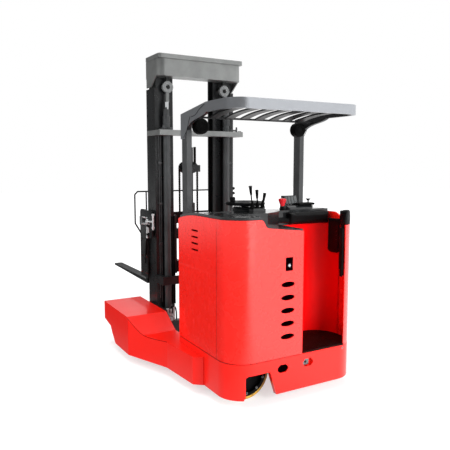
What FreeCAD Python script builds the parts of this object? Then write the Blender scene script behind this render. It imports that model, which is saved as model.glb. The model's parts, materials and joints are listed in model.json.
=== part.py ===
"""Stand-on electric reach truck, modelled as separate sub-parts.

Every sub-part is written to parts/NODE.step.  Sizes are in millimetres.
Lengths along the truck (y) are measured from the rear face of the body, and
export() moves everything so that the origin lies at the middle of the
footprint, on the floor.  +Y points along the forks and +X to the right.
A pair such as DECK_Z holds the lower and the upper limit.
"""
import math
import os

import FreeCAD
import Part

V = FreeCAD.Vector

# --------------------------------------------------------------------------
# Driving dimensions
# --------------------------------------------------------------------------
# Clearances
SEAM = 2.0                   # open seam between two covers
FIT = 1.0                    # loose fit of trim against what it lines
WHEEL_GAP = 6.0              # air between a wheel and what it turns in
RUNNING_FIT = 0.08           # radial clearance of a shaft in its bore
SEAT_GAP = 0.3               # clearance of rollers, pads and thrust faces
STAGE_GAP = 6.0              # air between two nested stages of the mast
OVER = 1.0                   # how far a cutter reaches past what it cuts

# Body
BODY_HALF = 600.0            # half the width of the covers
BODY_FRONT = 880.0           # y of the front panel's outer face
REAR_CORNER_R = 200.0        # plan radius of the two rear corners
COVER_T = 12.0               # thickness of the covers
SKIRT_BOTTOM = 70.0          # ground clearance under the frame
FRAME_TOP = 346.0            # seam between the frame and the covers
FRAME_WALL = 40.0            # rear and side walls of the frame
FRAME_DECK_T = 40.0          # plate that carries the battery and the operator
SEAM_REBATE = 3.0            # shadow line under the covers
PANEL_SEAM_Y = 220.0         # vertical seam between rear cover and left panel
SIDE_TOP = 1400.0            # top of the side covers, which falls to the front
SIDE_TOP_BEND = (480.0, 720.0)    # y where the top starts to fall, and a point on the fall
SIDE_TOP_FALL = (15.0, 48.0)      # how far it has fallen there, and at the front
REAR_STRIP_TOP = 1320.0      # top of the right cover at its rear edge
STRIP_RISE_Y = (130.0, 300.0)     # the right cover rises between these two y values
NOTCH_X = (-350.0, -290.0)   # the rear cover's top drops in an S between these
NOTCH_BOTTOM = 1337.0        # foot of the S
NOTCH_END = 1300.0           # height of the edge where it meets the well

# Chassis flare outside the covers, up to the legs
WING_TOP = 296.0
WING_START_Y = 425.0
WING_STEP = 8.0              # how far the flare stands out where it starts
WING_SHOULDER = (71.0, 482.0)     # stand-off and y of the shoulder
WING_FRONT = 106.0           # stand-off at the root of the legs
ROOT_Y = 900.0               # the legs start here

# Wheel cut-out and two lashing holes in the rear skirt
ARCH_X = (-480.0, -205.0)
ARCH_TOP = 255.0
ARCH_CORNER = 40.0
ARCH_SLANT = 60.0            # how far the right edge leans
LASHING_X = (-148.0, 90.0)
LASHING_Z = (261.0, 268.0)
LASHING_SIZE = (98.0, 62.0)
LASHING_CORNER = 22.0
LASHING_DEPTH = 34.0

# Legs
LEG_ROOM = 60.0              # between the mast and each leg
LEG_WIDTH = 386.0
LEG_TIP = 2080.0
LEG_TOP = 420.0
LEG_SHOULDER_Y = 927.0       # short straight flare before the long one
LEG_FLARE_Y = 1370.0         # where the outer side reaches its full width
LEG_SLOPE_Y = (1180.0, 1390.0)    # the top rises between these two y values
LEG_EDGE_R = 16.0            # rounding of the top's outer edge
TOE_Y = (1740.0, 1830.0, 1880.0)  # the underside rises towards the tip
TOE_Z = (150.0, 210.0, 247.0)
CHANNEL_DEPTH = 34.0         # roller channel in the inner side of the leg
CHANNEL_Z = (155.0, 265.0)
CHANNEL_Y = (930.0, 1990.0)

# Operator's well
WELL_LEFT = 30.0
WELL_RIM = 150.0             # width of the rear strip right of the well
WELL_FRONT = 440.0
LINER_T = 12.0
LINER_LEFT_R = 70.0
LINER_RIGHT_R = 212.0
MAT_T = 12.0

# Rear cover and left panel openings
VENT_X = -110.0
VENT_SIZE = (124.0, 43.0)
VENT_FIRST_Z = 506.0
VENT_PITCH = 100.0
VENT_COUNT = 5
SLOT_SIZE = (115.0, 14.0)
SLOT_Y = 578.0
SLOT_FIRST_Z = 1127.0
SLOT_PITCH = 51.0
SLOT_COUNT = 4

# Battery, one plain block behind the front panel
BATTERY_INSET = 100.0        # from the covers' outer face, each side
BATTERY_Y = (500.0, 850.0)
BATTERY_H = 700.0

# Drive unit
DRIVE_PIVOT = (-365.0, 240.0)
DRIVE_R = 200.0
DRIVE_WIDTH = 140.0
TYRE_T = 24.0
TYRE_BEVEL = 6.0
DRIVE_HUB = (60.0, 30.0)     # radius, and how far it fills the dish
DISH_RIM = 25.0
DISH_DEPTH = 25.0
AXLE_R = 30.0
AXLE_DEPTH = 40.0            # past the wheel's middle
TURRET_R = 100.0
BRIDGE_Z = 440.0
BRIDGE_T = 20.0
BRIDGE_REAR = 150.0          # reach of the bridge behind and beside the pivot
BRIDGE_WALL_T = 16.0
MOTOR_R = 120.0
MOTOR_H = 290.0
GEARBOX_HALF = 60.0
GEARBOX_T = 70.0
GEARBOX_GAP = 5.0
CROWN_GAP = 8.0              # over the tyre and under the bridge

# Swivelling wheels
CASTER_PIVOT = (400.0, 250.0)
CASTER_R = 90.0
CASTER_WIDTH = 56.0
CASTER_TRAIL = 48.0
CASTER_STEM_R = 25.0
CASTER_WELL_TOP = 240.0
LOAD_INSET = 192.0           # load wheel's pivot, from the leg's inner face
LOAD_Y = 1740.0
LOAD_R = 140.0
LOAD_WIDTH = 75.0
LOAD_STEM_R = 40.0
LOAD_WELL_TOP = 334.0
STEM_BORE = 60.0             # depth of the stem's bore over the well
STEM_END = 5.0               # air over the end of the stem
CHEEK_T = 10.0
CHEEK_HALF = 34.0
CHEEK_GAP = 5.0
CROWN_T = 14.0
CROWN_FRONT = 40.0
PIN_R = 12.0
BOSS_R = 26.0
WHEEL_BEVEL = 5.0

# Console
DECK_BOTTOM = 1300.0
DECK_LIP = 22.0              # the deck stands this far above the covers
CONSOLE_REAR = 330.0
TRAY_TOP = 1316.0            # low part of the deck, behind the levers
TRAY_LEFT = ((-300.0, -1.0), (-130.0, 250.0))
PAD_LEFT = 150.0
PAD_END = 28.0               # between the pad and the inside of the right cover
PAD_Z = (1306.0, 1404.0)
PAD_DEPTH = 62.0
PAD_EDGE_R = 18.0
FLAP_Z = (1322.0, 1362.0)
COLUMN_R = (150.0, 96.0)     # foot and top of the cover round the steering column
COLUMN_TOP = 1452.0
POD_X = (225.0, 505.0)
POD_Y = (470.0, 610.0)
POD_TOP = 1448.0
POD_R = 32.0
LEVER_BASE = (-185.0, -70.0)      # x limits of the block under the levers
LEVER_BLOCK_Y = (368.0, 432.0)
LEVER_BLOCK_TOP = 1452.0
LEVER_BLOCK_R = 14.0

# Controls
STEERING_CENTRE = (-120.0, 600.0, 1476.0)
STEERING_R = 165.0
STEERING_T = 24.0
STEERING_HUB_R = 32.0
KNOB_R = 19.0
KNOB_AT = 120.0
KNOB_H = 44.0
LEVER_X = (-176.0, -128.0, -80.0)
LEVER_LEAN = (-20.0, -6.0, 22.0)
LEVER_TOP = (1628.0, 1597.0, 1569.0)
LEVER_Y = 400.0
STICK_R = 5.0
GRIP_R = (9.0, 13.5)
GRIP_L = 72.0
STOP_AT = (180.0, 490.0)
STOP_R = (17.0, 32.0)
STOP_H = (34.0, 86.0)
SCREEN_X = (238.0, 384.0)
SCREEN_Y = (540.0, 578.0)
SCREEN_TOP = 1530.0
SCREEN_LEAN = 26.0
SWITCH_AT = (460.0, 500.0)
SWITCH_R = (6.0, 24.0)
SWITCH_TOP = 1505.0
SWITCH_CAP = 20.0

# Pads of the well's right side
SIDE_PAD_Y = (205.0, 326.0)
SIDE_PAD_Z = (1050.0, 1350.0)
SIDE_PAD_T = 20.0
SIDE_PAD_R = 42.0
HIP_T = 42.0
HIP_STRIP = (154.0, 108.0)   # limits of the strip, from the covers' outer face
HIP_STRIP_Z = (905.0, 1300.0)
HIP_TOP = 1438.0
HIP_LIP = 40.0               # end of the lip, from the covers' outer face

# Overhead guard
POST_W = 45.0
POST_Y = (735.0, 825.0)
POST_BASE = 1330.0
POST_TOP = 2120.0
GUARD_TOP = 2259.0
RIM_HEIGHT = 75.0
RIM_T = 30.0
GUARD_INSET = 10.0           # behind the covers' side face
GUARD_CORNER_R = 130.0
ARM_FRONT = 840.0
ARM_Z = (2000.0, 2200.0)     # lowest point of the arms, and the top of their front edge
ARM_BEND_Y = (400.0, 760.0)  # the arm curves down between these two y values
ARM_PULL = (15.0, 28.0)      # the curve's two middle points, from its middle and its end
SLAT_COUNT = 7
SLAT_W = 72.0
SLAT_T = 12.0
SLAT_Z = (2154.0, 2206.0)    # underside at the front bar and at the rear rim
SLAT_BEND_Y = 300.0
GUARD_BAR_Y = (585.0, 615.0)
GUARD_BAR_H = 14.0
LAMP_INSET = 106.0           # lamp's axis, from the outside of the guard
LAMP_Y = (655.0, 735.0)
LAMP_Z = 2098.0
LAMP_R = 62.0
LAMP_EDGE_R = 14.0
LAMP_ARM_Z = (2120.0, 2150.0)
LAMP_ARM_Y = (25.0, 5.0)     # limits of the bracket, from the lamp's front

# Mast: three nested pairs of uprights, each a channel open to the middle
MAST_REAR = 1750.0
MAST_FRONT = 1960.0
MAST_HALF = 440.0            # outer face of the outer stage
FLANGE_W = (40.0, 110.0, 212.0)   # from the mast's side to each stage's inner edge
FLANGE_T = 16.0
WEB_T = 16.0
OUTER_Z = (98.0, 2530.0)
MID_Z = (108.0, 2790.0)
INNER_Z = (118.0, 2780.0)
WEAR_PAD_H = 90.0
WEAR_PAD_PITCH = 500.0
REACH_TIE_Y = (1590.0, 1618.0)
REACH_TIE_Z = (620.0, 700.0)
MID_TIE_Y = (1754.0, 1788.0)
MID_TIE_H = 100.0
INNER_TIE_T = 46.0
INNER_TIE_H = 72.0
INNER_TOP_TIE_Z = (2650.0, 2750.0)
FREE_SEAT = (60.0, 1900.0)
COLLAR_REACH = 20.0          # the collar and the cap stand out this far beside the mast
COLLAR_FRONT = 1910.0
COLLAR_REAR = 1585.0
COLLAR_Z = (2075.0, 2125.0)
HEAD_Z = (2630.0, 2790.0)
HEAD_INSET = 20.0            # the beam stands back from the cap
HEAD_CORNER_R = 70.0
CAP_T = 40.0
CAP_CORNER_R = 30.0
HEAD_WING_T = 10.0
HEAD_WING_BOTTOM = 2540.0
HEAD_WING_Y = (1670.0, 1676.0, 1800.0)

# Lift cylinders
CYL_INSET = 105.0            # cylinder's axis, from the mast's side
CYL_Y = 1710.0
BARREL_R = 34.0
BARREL_BORE = 25.5
BARREL_COLLAR = 10.0
ROD_R = 22.5
GLAND_R = 30.0
GLAND_TOP = 2250.0
GUIDE_H = 60.0
ROD_Z = (450.0, 2345.0)
ROD_ROOM = 50.0              # free bore under the rod
CLEVIS_HALF = (18.0, 16.0)
CLEVIS_H = 50.0
LINK_X = (-29.0, 1.0)        # from the cylinder's axis
LINK_HALF = 6.0
RING_SHIFT = 21.0            # eye's centre, from the cylinder's axis towards the middle
RING_Z = 2540.0
RING_R = 55.0
RING_BORE = 20.0
RING_W = 26.0
HANGER_HALF = 20.0
HANGER_SINK = 10.0

# Free lift
FREE_Y = 1850.0
FREE_BARREL_R = 35.0
FREE_BORE = 21.0
FREE_ROD_R = 17.5
FREE_BARREL_Z = (232.0, 1400.0)
FREE_ROD_Z = (700.0, 1970.0)
FREE_ROOM = 250.0
CROSSHEAD_HALF = 90.0
CROSSHEAD_REAR = 26.0
CROSSHEAD_Z = (40.0, 30.0)   # below and above the sheaves' axis
SHEAVE_R = 60.0
SHEAVE_W = 26.0
SHEAVE_X = 48.0
SHEAVE_Z = 1760.0
SHEAVE_Y = 1922.0
SHEAVE_PIN_R = 16.0
CHAIN_W = 16.0
CHAIN_T = 10.0
CHAIN_BOTTOM = 1010.0
CHAIN_PARTING = 4.0          # the two chains stay this far from the middle

# Carriage, fork frame and forks
PLATE_GAP = 15.0             # between the uprights and the side plates
PLATE_T = 15.0
PLATE_Y = (1916.0, 2110.0)
PLATE_CORNER_R = 40.0
CARRIAGE_Z = (640.0, 1340.0)
CROSS_Z = ((660.0, 780.0), (1180.0, 1300.0))
CROSS_Y = (1970.0, 2010.0)
ROLLER_ARM = (45.0, 7.0)     # limits of the arm, inside the inner stage's edge
ROLLER_ARM_Z = (680.0, 1280.0)
ROLLER_ARM_Y = (30.0, 2000.0)     # behind the rollers' axis, and the front face
ROLLER_Z = (740.0, 1220.0)
ROLLER_W = 42.0
ROLLER_PIN_R = 20.0
ROLLER_SIDE_GAP = 8.0
TILT_Y = 2040.0
TILT_Z = 700.0
TILT_PIN_R = 18.0
TILT_PIN_HALF = 410.0
EAR_X = (-400.0, -140.0, 110.0, 370.0)
EAR_T = 30.0
EAR_SIZE = (22.0, 30.0)
LUG_X = (-360.0, -60.0, 30.0, 330.0)
LUG_SIZE = (22.0, 28.0)
FRAME_INSET = 11.0           # between the side plates and the fork frame
FORK_FRAME_Y = (2070.0, 2110.0)
LOWER_BAR = (50.0, 60.0)     # below and above the tilt axis
UPPER_BAR_Z = (1000.0, 1090.0)
STILE_W = 40.0
STILE_X = (-150.0, 110.0)
FORK_X = (300.0, 400.0)
FORK_T = 40.0
FORK_BOTTOM = 540.0
FORK_TIP = 3230.0
FORK_TIP_R = 30.0
FORK_NOSE = (20.0, 24.0, 30.0)
SHANK_TOP = 1080.0
BACKREST_HALF = 510.0
BACKREST_FOOT = 430.0
BACKREST_TOP = 1520.0
BACKREST_BEND_Z = 1180.0
BACKREST_Y = 2172.0
BACKREST_ROD_R = 8.0
BACKREST_CORNER = 30.0
BACKREST_BARS = (-375.0, -125.0, 125.0, 375.0)
SHELF_T = 16.0

# Valve block on the carriage's left plate
VALVE_W = 34.0
VALVE_Y = (1960.0, 2040.0)
VALVE_Z = (1180.0, 1270.0)
PORT_R = 14.0
PORT_L = 60.0

# Reach carriage between the legs
BASE_GAP = 10.0              # between the reach carriage and the legs
BASE_BOTTOM = 80.0
BASE_SIDE_TOP = 400.0
BASE_Y = (1512.0, 1900.0)
BASE_FLOOR_Y = 1600.0
BASE_REAR_Y = (1560.0, 1618.0)
BASE_REAR_TOP = 260.0
REACH_ROLLERS_Y = (1600.0, 1840.0)
REACH_ROLLER_X = (2.0, 29.0)      # inside the channel, from the leg's face
REACH_PIN_R = 22.0

# --------------------------------------------------------------------------
# Sizes that follow from them
# --------------------------------------------------------------------------
MIDDLE_Y = FORK_TIP / 2.0    # the footprint's middle, from the rear face
LEG_INNER = MAST_HALF + LEG_ROOM
LEG_OUTER = LEG_INNER + LEG_WIDTH
LOAD_PIVOT = (LEG_INNER + LOAD_INSET, LOAD_Y)
INNER_HALF = BODY_HALF - COVER_T  # inner face of the side covers
WELL_RIGHT = BODY_HALF - WELL_RIM
SIDE_FRONT_TOP = SIDE_TOP - SIDE_TOP_FALL[1]
DECK_TOP = SIDE_TOP + DECK_LIP
GUARD_HALF = BODY_HALF - GUARD_INSET
POST_X = (INNER_HALF - SEAM - POST_W, INNER_HALF - SEAM)
PLATE_X = (MAST_HALF + PLATE_GAP, MAST_HALF + PLATE_GAP + PLATE_T)
FRAME_HALF = PLATE_X[0] - FRAME_INSET
BASE_HALF = LEG_INNER - BASE_GAP
DRIVE_BAY_R = math.hypot(DRIVE_R, DRIVE_WIDTH / 2) + WHEEL_GAP
FRAME_DECK_Z = FRAME_TOP - FRAME_DECK_T
PAD_X = (PAD_LEFT, INNER_HALF - PAD_END)
HIP_STRIP_X = (BODY_HALF - HIP_STRIP[0], BODY_HALF - HIP_STRIP[1])
HIP_LIP_X = BODY_HALF - HIP_LIP
LAMP_X = GUARD_HALF - LAMP_INSET
FLANGE_EDGE = tuple(MAST_HALF - width for width in FLANGE_W)
COLLAR_HALF = MAST_HALF + COLLAR_REACH
HEAD_HALF = MAST_HALF + STAGE_GAP + HEAD_WING_T
CYL_X = MAST_HALF - CYL_INSET
RING_X = CYL_X - RING_SHIFT
ROLLER_ARM_X = tuple(FLANGE_EDGE[2] - gap for gap in ROLLER_ARM)


# --------------------------------------------------------------------------
# Shape helpers
# --------------------------------------------------------------------------
def box(x, y, z):
    """Box between pairs of limits."""
    return Part.makeBox(x[1] - x[0], y[1] - y[0], z[1] - z[0], V(x[0], y[0], z[0]))


def cyl_z(x, y, z, r):
    return Part.makeCylinder(r, z[1] - z[0], V(x, y, z[0]), V(0, 0, 1))


def cyl_x(x, y, z, r):
    return Part.makeCylinder(r, x[1] - x[0], V(x[0], y, z), V(1, 0, 0))


def cyl_y(x, y, z, r):
    return Part.makeCylinder(r, y[1] - y[0], V(x, y[0], z), V(0, 1, 0))


def prism_z(points, z):
    """Vertical prism over a plan outline."""
    ring = [V(x, y, z[0]) for x, y in points]
    return Part.Face(Part.makePolygon(ring + ring[:1])).extrude(V(0, 0, z[1] - z[0]))


def prism_x(points, x):
    """Prism along X over a side outline of (y, z) points."""
    ring = [V(x[0], y, z) for y, z in points]
    return Part.Face(Part.makePolygon(ring + ring[:1])).extrude(V(x[1] - x[0], 0, 0))


def prism_y(points, y):
    """Prism along Y over a rear outline of (x, z) points."""
    ring = [V(x, y[0], z) for x, z in points]
    return Part.Face(Part.makePolygon(ring + ring[:1])).extrude(V(0, y[1] - y[0], 0))


def curved_face(curve, corners):
    """Face inside a smooth curve through points and straight lines through corners."""
    spline = Part.BSplineCurve()
    spline.interpolate(curve)
    ring = [curve[-1]] + corners + [curve[0]]
    edges = [spline.toShape()] + [Part.makeLine(a, b) for a, b in zip(ring, ring[1:])]
    return Part.Face(Part.Wire(edges))


def curved_x(curve, corners, x):
    """Prism along X whose side outline is partly a smooth curve."""
    face = curved_face([V(x[0], y, z) for y, z in curve], [V(x[0], y, z) for y, z in corners])
    return face.extrude(V(x[1] - x[0], 0, 0))


def curved_y(curve, corners, y):
    """Prism along Y whose rear outline is partly a smooth curve."""
    face = curved_face([V(x, y[0], z) for x, z in curve], [V(x, y[0], z) for x, z in corners])
    return face.extrude(V(0, y[1] - y[0], 0))


def rounded(shape, radius, wanted):
    """Fillet the edges of a shape for which wanted(edge) is true."""
    return shape.makeFillet(radius, [e for e in shape.Edges if wanted(e)])


def bevelled(shape, size):
    """Take a flat 45 degree bevel off the round edges of a shape."""
    return shape.makeChamfer(size, [e for e in shape.Edges if round_edge(e)])


def along(edge, axis):
    """Whether a straight edge runs along the axis named x, y or z."""
    return len(edge.Vertexes) == 2 and abs(getattr(edge.tangentAt(edge.FirstParameter), axis)) > 0.999


def round_edge(edge):
    return hasattr(edge.Curve, "Radius")


def join(shapes):
    whole = shapes[0].multiFuse(shapes[1:]) if len(shapes) > 1 else shapes[0]
    return whole.removeSplitter()


def mirrored(shape):
    return shape.mirror(V(0, 0, 0), V(1, 0, 0))


def both_sides(shape):
    return Part.makeCompound([shape, mirrored(shape)])


def span(middle, length):
    """Limits of a length set about its middle."""
    return (middle - length / 2, middle + length / 2)


def side_span(side, limits):
    """X limits mirrored to the left where side is -1."""
    return tuple(sorted(side * value for value in limits))


def rod(points, r):
    """Round bar through points, with a ball at each bend."""
    pieces = []
    for a, b in zip(points, points[1:]):
        start, end = V(*a), V(*b)
        pieces.append(Part.makeCylinder(r, (end - start).Length, start, end - start))
    pieces += [Part.makeSphere(r, V(*p)) for p in points[1:-1]]
    return join(pieces)


def stick(foot, top, r):
    """Tapered round bar from foot to top; r holds the two radii."""
    start, way = V(*foot), V(*top) - V(*foot)
    return Part.makeCone(r[0], r[1], way.Length, start, way)


def export(name, shape):
    shape = shape.copy()
    shape.translate(V(0, -MIDDLE_Y, 0))
    shape.exportStep("parts/" + name + ".step")


# --------------------------------------------------------------------------
# Chassis
# --------------------------------------------------------------------------
def body_outline(inset, z):
    """The covers' plan, drawn in by inset, as a prism over z."""
    half, front = BODY_HALF - inset, BODY_FRONT - inset
    block = box((-half, half), (inset, front), z)
    return rounded(block, REAR_CORNER_R - inset,
                   lambda e: along(e, "z") and e.CenterOfMass.y < inset + 1)


def wheel_arch():
    """Cutter for the wheel cut-out in the rear skirt: left top corner round, right edge leaning."""
    left, right = ARCH_X
    side = [(left, -OVER), (left, ARCH_TOP), (right - ARCH_SLANT, ARCH_TOP), (right, SKIRT_BOTTOM),
            (right, -OVER)]
    arch = prism_y(side, (-OVER, FRAME_WALL + OVER))
    return rounded(arch, ARCH_CORNER, lambda e: along(e, "y") and e.CenterOfMass.z > ARCH_TOP - 1
                   and e.CenterOfMass.x < left + 1)


def lashing_hole(x, z):
    """Cutter for an oblong hole with its corners cut off."""
    (a, b), (c, d) = span(x, LASHING_SIZE[0]), span(z, LASHING_SIZE[1])
    k = LASHING_CORNER
    outline = [(a + k, c), (b - k, c), (b, c + k), (b, d - k), (b - k, d), (a + k, d), (a, d - k),
               (a, c + k)]
    return prism_y(outline, (-OVER, LASHING_DEPTH))


def drive_bridge():
    """Plate over the drive wheel, on a front and a side wall."""
    px, py = DRIVE_PIVOT
    wall = (DRIVE_BAY_R + SEAM, DRIVE_BAY_R + SEAM + BRIDGE_WALL_T)
    x, y = (px - BRIDGE_REAR, px + wall[1]), (py - BRIDGE_REAR, py + wall[1])
    plate = box(x, y, (BRIDGE_Z, BRIDGE_Z + BRIDGE_T))
    front = box(x, (py + wall[0], y[1]), (FRAME_TOP, BRIDGE_Z))
    side = box((px + wall[0], x[1]), y, (FRAME_TOP, BRIDGE_Z))
    return [plate, front, side]


def caster_well():
    x, y = CASTER_PIVOT
    sweep = math.hypot(CASTER_TRAIL + CASTER_R, CASTER_WIDTH / 2 + CHEEK_GAP + CHEEK_T) + WHEEL_GAP
    well = cyl_z(x, y, (0, CASTER_WELL_TOP), sweep)
    stem = cyl_z(x, y, (0, CASTER_WELL_TOP + STEM_BORE), CASTER_STEM_R + RUNNING_FIT)
    return well.fuse(stem), sweep


def chassis_frame():
    z = (SKIRT_BOTTOM, FRAME_TOP)
    body = body_outline(0, z).fuse(box((-BODY_HALF, BODY_HALF), (WING_START_Y, ROOT_Y), z))
    wing = [(0, WING_START_Y), (BODY_HALF + WING_STEP, WING_START_Y),
            (BODY_HALF + WING_SHOULDER[0], WING_SHOULDER[1]), (BODY_HALF + WING_FRONT, ROOT_Y),
            (0, ROOT_Y)]
    wing = prism_z(wing, (SKIRT_BOTTOM, WING_TOP))
    body = join([body, wing, mirrored(wing)])
    # over the flare, the front stands back to the covers
    body = body.cut(box((-BODY_HALF, BODY_HALF), (BODY_FRONT, ROOT_Y), (WING_TOP, FRAME_TOP)))
    rebate_z = (FRAME_TOP - SEAM_REBATE, FRAME_TOP)
    body = body.cut(body_outline(-OVER, rebate_z).cut(body_outline(SEAM_REBATE, rebate_z)))
    well, sweep = caster_well()
    # open underside: the drive unit's bay at the rear left, and a bay under the battery
    under = (0, FRAME_DECK_Z)
    caster_x, caster_y = CASTER_PIVOT
    rear_bay = body_outline(FRAME_WALL, under).common(
        box((-BODY_HALF, caster_x - sweep - FRAME_WALL), (0, DRIVE_PIVOT[1] + DRIVE_BAY_R), under))
    front_bay = box((-LEG_INNER, LEG_INNER), (caster_y + sweep + FRAME_WALL, ROOT_Y + OVER), under)
    body = body.cut(rear_bay).cut(front_bay)
    px, py = DRIVE_PIVOT
    body = body.cut(cyl_z(px, py, (0, FRAME_TOP + OVER), DRIVE_BAY_R))
    body = join([body] + drive_bridge())
    turret = cyl_z(px, py, (BRIDGE_Z - OVER, BRIDGE_Z + BRIDGE_T + OVER), TURRET_R + RUNNING_FIT)
    body = body.cut(turret).cut(well).cut(wheel_arch())
    for x, z_hole in zip(LASHING_X, LASHING_Z):
        body = body.cut(lashing_hole(x, z_hole))
    return body


def leg_right():
    root_x = BODY_HALF + WING_FRONT
    plan = [(LEG_INNER, ROOT_Y), (root_x, ROOT_Y), (root_x + WING_STEP, LEG_SHOULDER_Y),
            (LEG_OUTER, LEG_FLARE_Y), (LEG_OUTER, LEG_TIP), (LEG_INNER, LEG_TIP)]
    toe = list(zip(TOE_Y, TOE_Z))
    side = [(ROOT_Y, WING_TOP), (LEG_SLOPE_Y[0], WING_TOP), (LEG_SLOPE_Y[1], LEG_TOP),
            (LEG_TIP, LEG_TOP), (LEG_TIP, toe[2][1]), (toe[2][0], toe[1][1]), (toe[1][0], toe[0][1]),
            (toe[0][0], SKIRT_BOTTOM), (ROOT_Y, SKIRT_BOTTOM)]
    leg = prism_z(plan, (0, LEG_TOP)).common(prism_x(side, (0, LEG_OUTER)))
    leg = rounded(leg, LEG_EDGE_R, lambda e: along(e, "x") and e.CenterOfMass.z > LEG_TOP - 1
                  and e.CenterOfMass.y > LEG_TIP - 1
                  or along(e, "z") and e.CenterOfMass.x > LEG_OUTER - 1
                  and e.CenterOfMass.y > LEG_TIP - 1)
    x, y = LOAD_PIVOT
    well_r = math.hypot(LOAD_R, LOAD_WIDTH / 2) + WHEEL_GAP
    leg = leg.cut(cyl_z(x, y, (0, LOAD_WELL_TOP), well_r))
    leg = leg.cut(cyl_z(x, y, (0, LOAD_WELL_TOP + STEM_BORE), LOAD_STEM_R + RUNNING_FIT))
    channel = box((LEG_INNER - OVER, LEG_INNER + CHANNEL_DEPTH), CHANNEL_Y, CHANNEL_Z)
    return leg.cut(channel).removeSplitter()


def cover_shell(z):
    return body_outline(0, z).cut(body_outline(COVER_T, z))


def rear_edge(lift, y):
    """Cutter over the rear cover's top edge, which drops in an S; lift raises the edge."""
    left, right = NOTCH_X
    step = SIDE_TOP - NOTCH_BOTTOM
    curve = [(left, SIDE_TOP + lift), (left + 0.3 * (right - left), SIDE_TOP + lift - 0.2 * step),
             (left + 0.65 * (right - left), SIDE_TOP + lift - 0.75 * step),
             (right, NOTCH_BOTTOM + lift)]
    corners = [(WELL_LEFT, NOTCH_END + lift), (WELL_LEFT + OVER, NOTCH_END + lift),
               (WELL_LEFT + OVER, GUARD_TOP), (left, GUARD_TOP)]
    return curved_y(curve, corners, y)


def vent(z):
    """Cutter for a lens-shaped vent in the rear cover."""
    half_w, half_h = VENT_SIZE[0] / 2, VENT_SIZE[1] / 2
    oval = Part.Ellipse(V(VENT_X, -OVER, z), half_w, half_h)
    oval = Part.Wire(oval.toShape())
    oval.rotate(V(VENT_X, -OVER, z), V(1, 0, 0), 90)
    return Part.Face(oval).extrude(V(0, COVER_T + 2 * OVER, 0))


def rear_cover():
    z = (FRAME_TOP, SIDE_TOP)
    cover = cover_shell(z).common(box((-BODY_HALF, WELL_LEFT), (0, PANEL_SEAM_Y), z))
    cover = cover.cut(rear_edge(0, (-OVER, REAR_CORNER_R)))
    for i in range(VENT_COUNT):
        cover = cover.cut(vent(VENT_FIRST_Z + i * VENT_PITCH))
    return cover


def side_top(lift):
    """Points of the side covers' top edge, from the seam to the front."""
    return [(PANEL_SEAM_Y, SIDE_TOP + lift), (SIDE_TOP_BEND[0], SIDE_TOP + lift),
            (SIDE_TOP_BEND[1], SIDE_TOP - SIDE_TOP_FALL[0] + lift),
            (BODY_FRONT, SIDE_FRONT_TOP + lift)]


def left_panel():
    top = side_top(0)
    curve = [(PANEL_SEAM_Y + SEAM, SIDE_TOP)] + top[1:]
    corners = [(BODY_FRONT, FRAME_TOP), (PANEL_SEAM_Y + SEAM, FRAME_TOP)]
    panel = curved_x(curve, corners, (-BODY_HALF, -INNER_HALF))
    through = (-BODY_HALF - OVER, -INNER_HALF + OVER)
    for i in range(SLOT_COUNT):
        z = span(SLOT_FIRST_Z + i * SLOT_PITCH, SLOT_SIZE[1])
        slot = box(through, span(SLOT_Y, SLOT_SIZE[0]), z)
        panel = panel.cut(rounded(slot, SLOT_SIZE[1] * 0.45, lambda e: along(e, "x")))
    return panel


def right_cover():
    shell = cover_shell((FRAME_TOP, SIDE_TOP))
    shell = shell.common(box((WELL_RIGHT, BODY_HALF), (0, BODY_FRONT - COVER_T),
                             (FRAME_TOP, SIDE_TOP)))
    low, high = STRIP_RISE_Y
    curve = [(low, REAR_STRIP_TOP), ((low + high) / 2, (REAR_STRIP_TOP + SIDE_TOP) / 2),
             (high, SIDE_TOP)] + side_top(0)[1:]
    corners = [(BODY_FRONT, GUARD_TOP), (-OVER, GUARD_TOP), (-OVER, REAR_STRIP_TOP)]
    return shell.cut(curved_x(curve, corners, (0, BODY_HALF + OVER)))


def front_panel():
    return box((-INNER_HALF, BODY_HALF), (BODY_FRONT - COVER_T, BODY_FRONT), (FRAME_TOP, DECK_BOTTOM))


def well_plan(inset, z):
    """The well's plan inside the liner's outer face, drawn in by inset."""
    block = box((WELL_LEFT + inset, INNER_HALF - inset), (0, WELL_FRONT - inset), z)
    block = rounded(block, LINER_LEFT_R - inset, lambda e: along(e, "z")
                    and e.CenterOfMass.y > WELL_FRONT - inset - 1 and e.CenterOfMass.x < WELL_RIGHT)
    return rounded(block, LINER_RIGHT_R - inset, lambda e: along(e, "z")
                   and e.CenterOfMass.y > WELL_FRONT - inset - 1 and e.CenterOfMass.x > WELL_RIGHT)


def operator_liner():
    """Left and front walls of the well, with a wide round corner on the right."""
    z = (FRAME_TOP, DECK_BOTTOM)
    liner = well_plan(0, z).cut(well_plan(LINER_T, (z[0] - OVER, z[1] + OVER)))
    liner = liner.cut(box((WELL_LEFT - OVER, BODY_HALF), (-OVER, COVER_T), z))
    corner_y = WELL_FRONT - LINER_RIGHT_R
    return liner.cut(box((WELL_RIGHT, BODY_HALF), (-OVER, corner_y), z))


def floor_mat():
    z = (FRAME_TOP, FRAME_TOP + MAT_T)
    mat = well_plan(LINER_T + FIT, z)
    mat = mat.cut(box((WELL_LEFT, BODY_HALF), (-OVER, SEAM), z))
    inside = body_outline(COVER_T + FIT, z).fuse(box((WELL_LEFT, WELL_RIGHT), (0, WELL_FRONT), z))
    return mat.common(inside)


def battery():
    half = BODY_HALF - BATTERY_INSET
    return box((-half, half), BATTERY_Y, (FRAME_TOP, FRAME_TOP + BATTERY_H))


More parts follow.
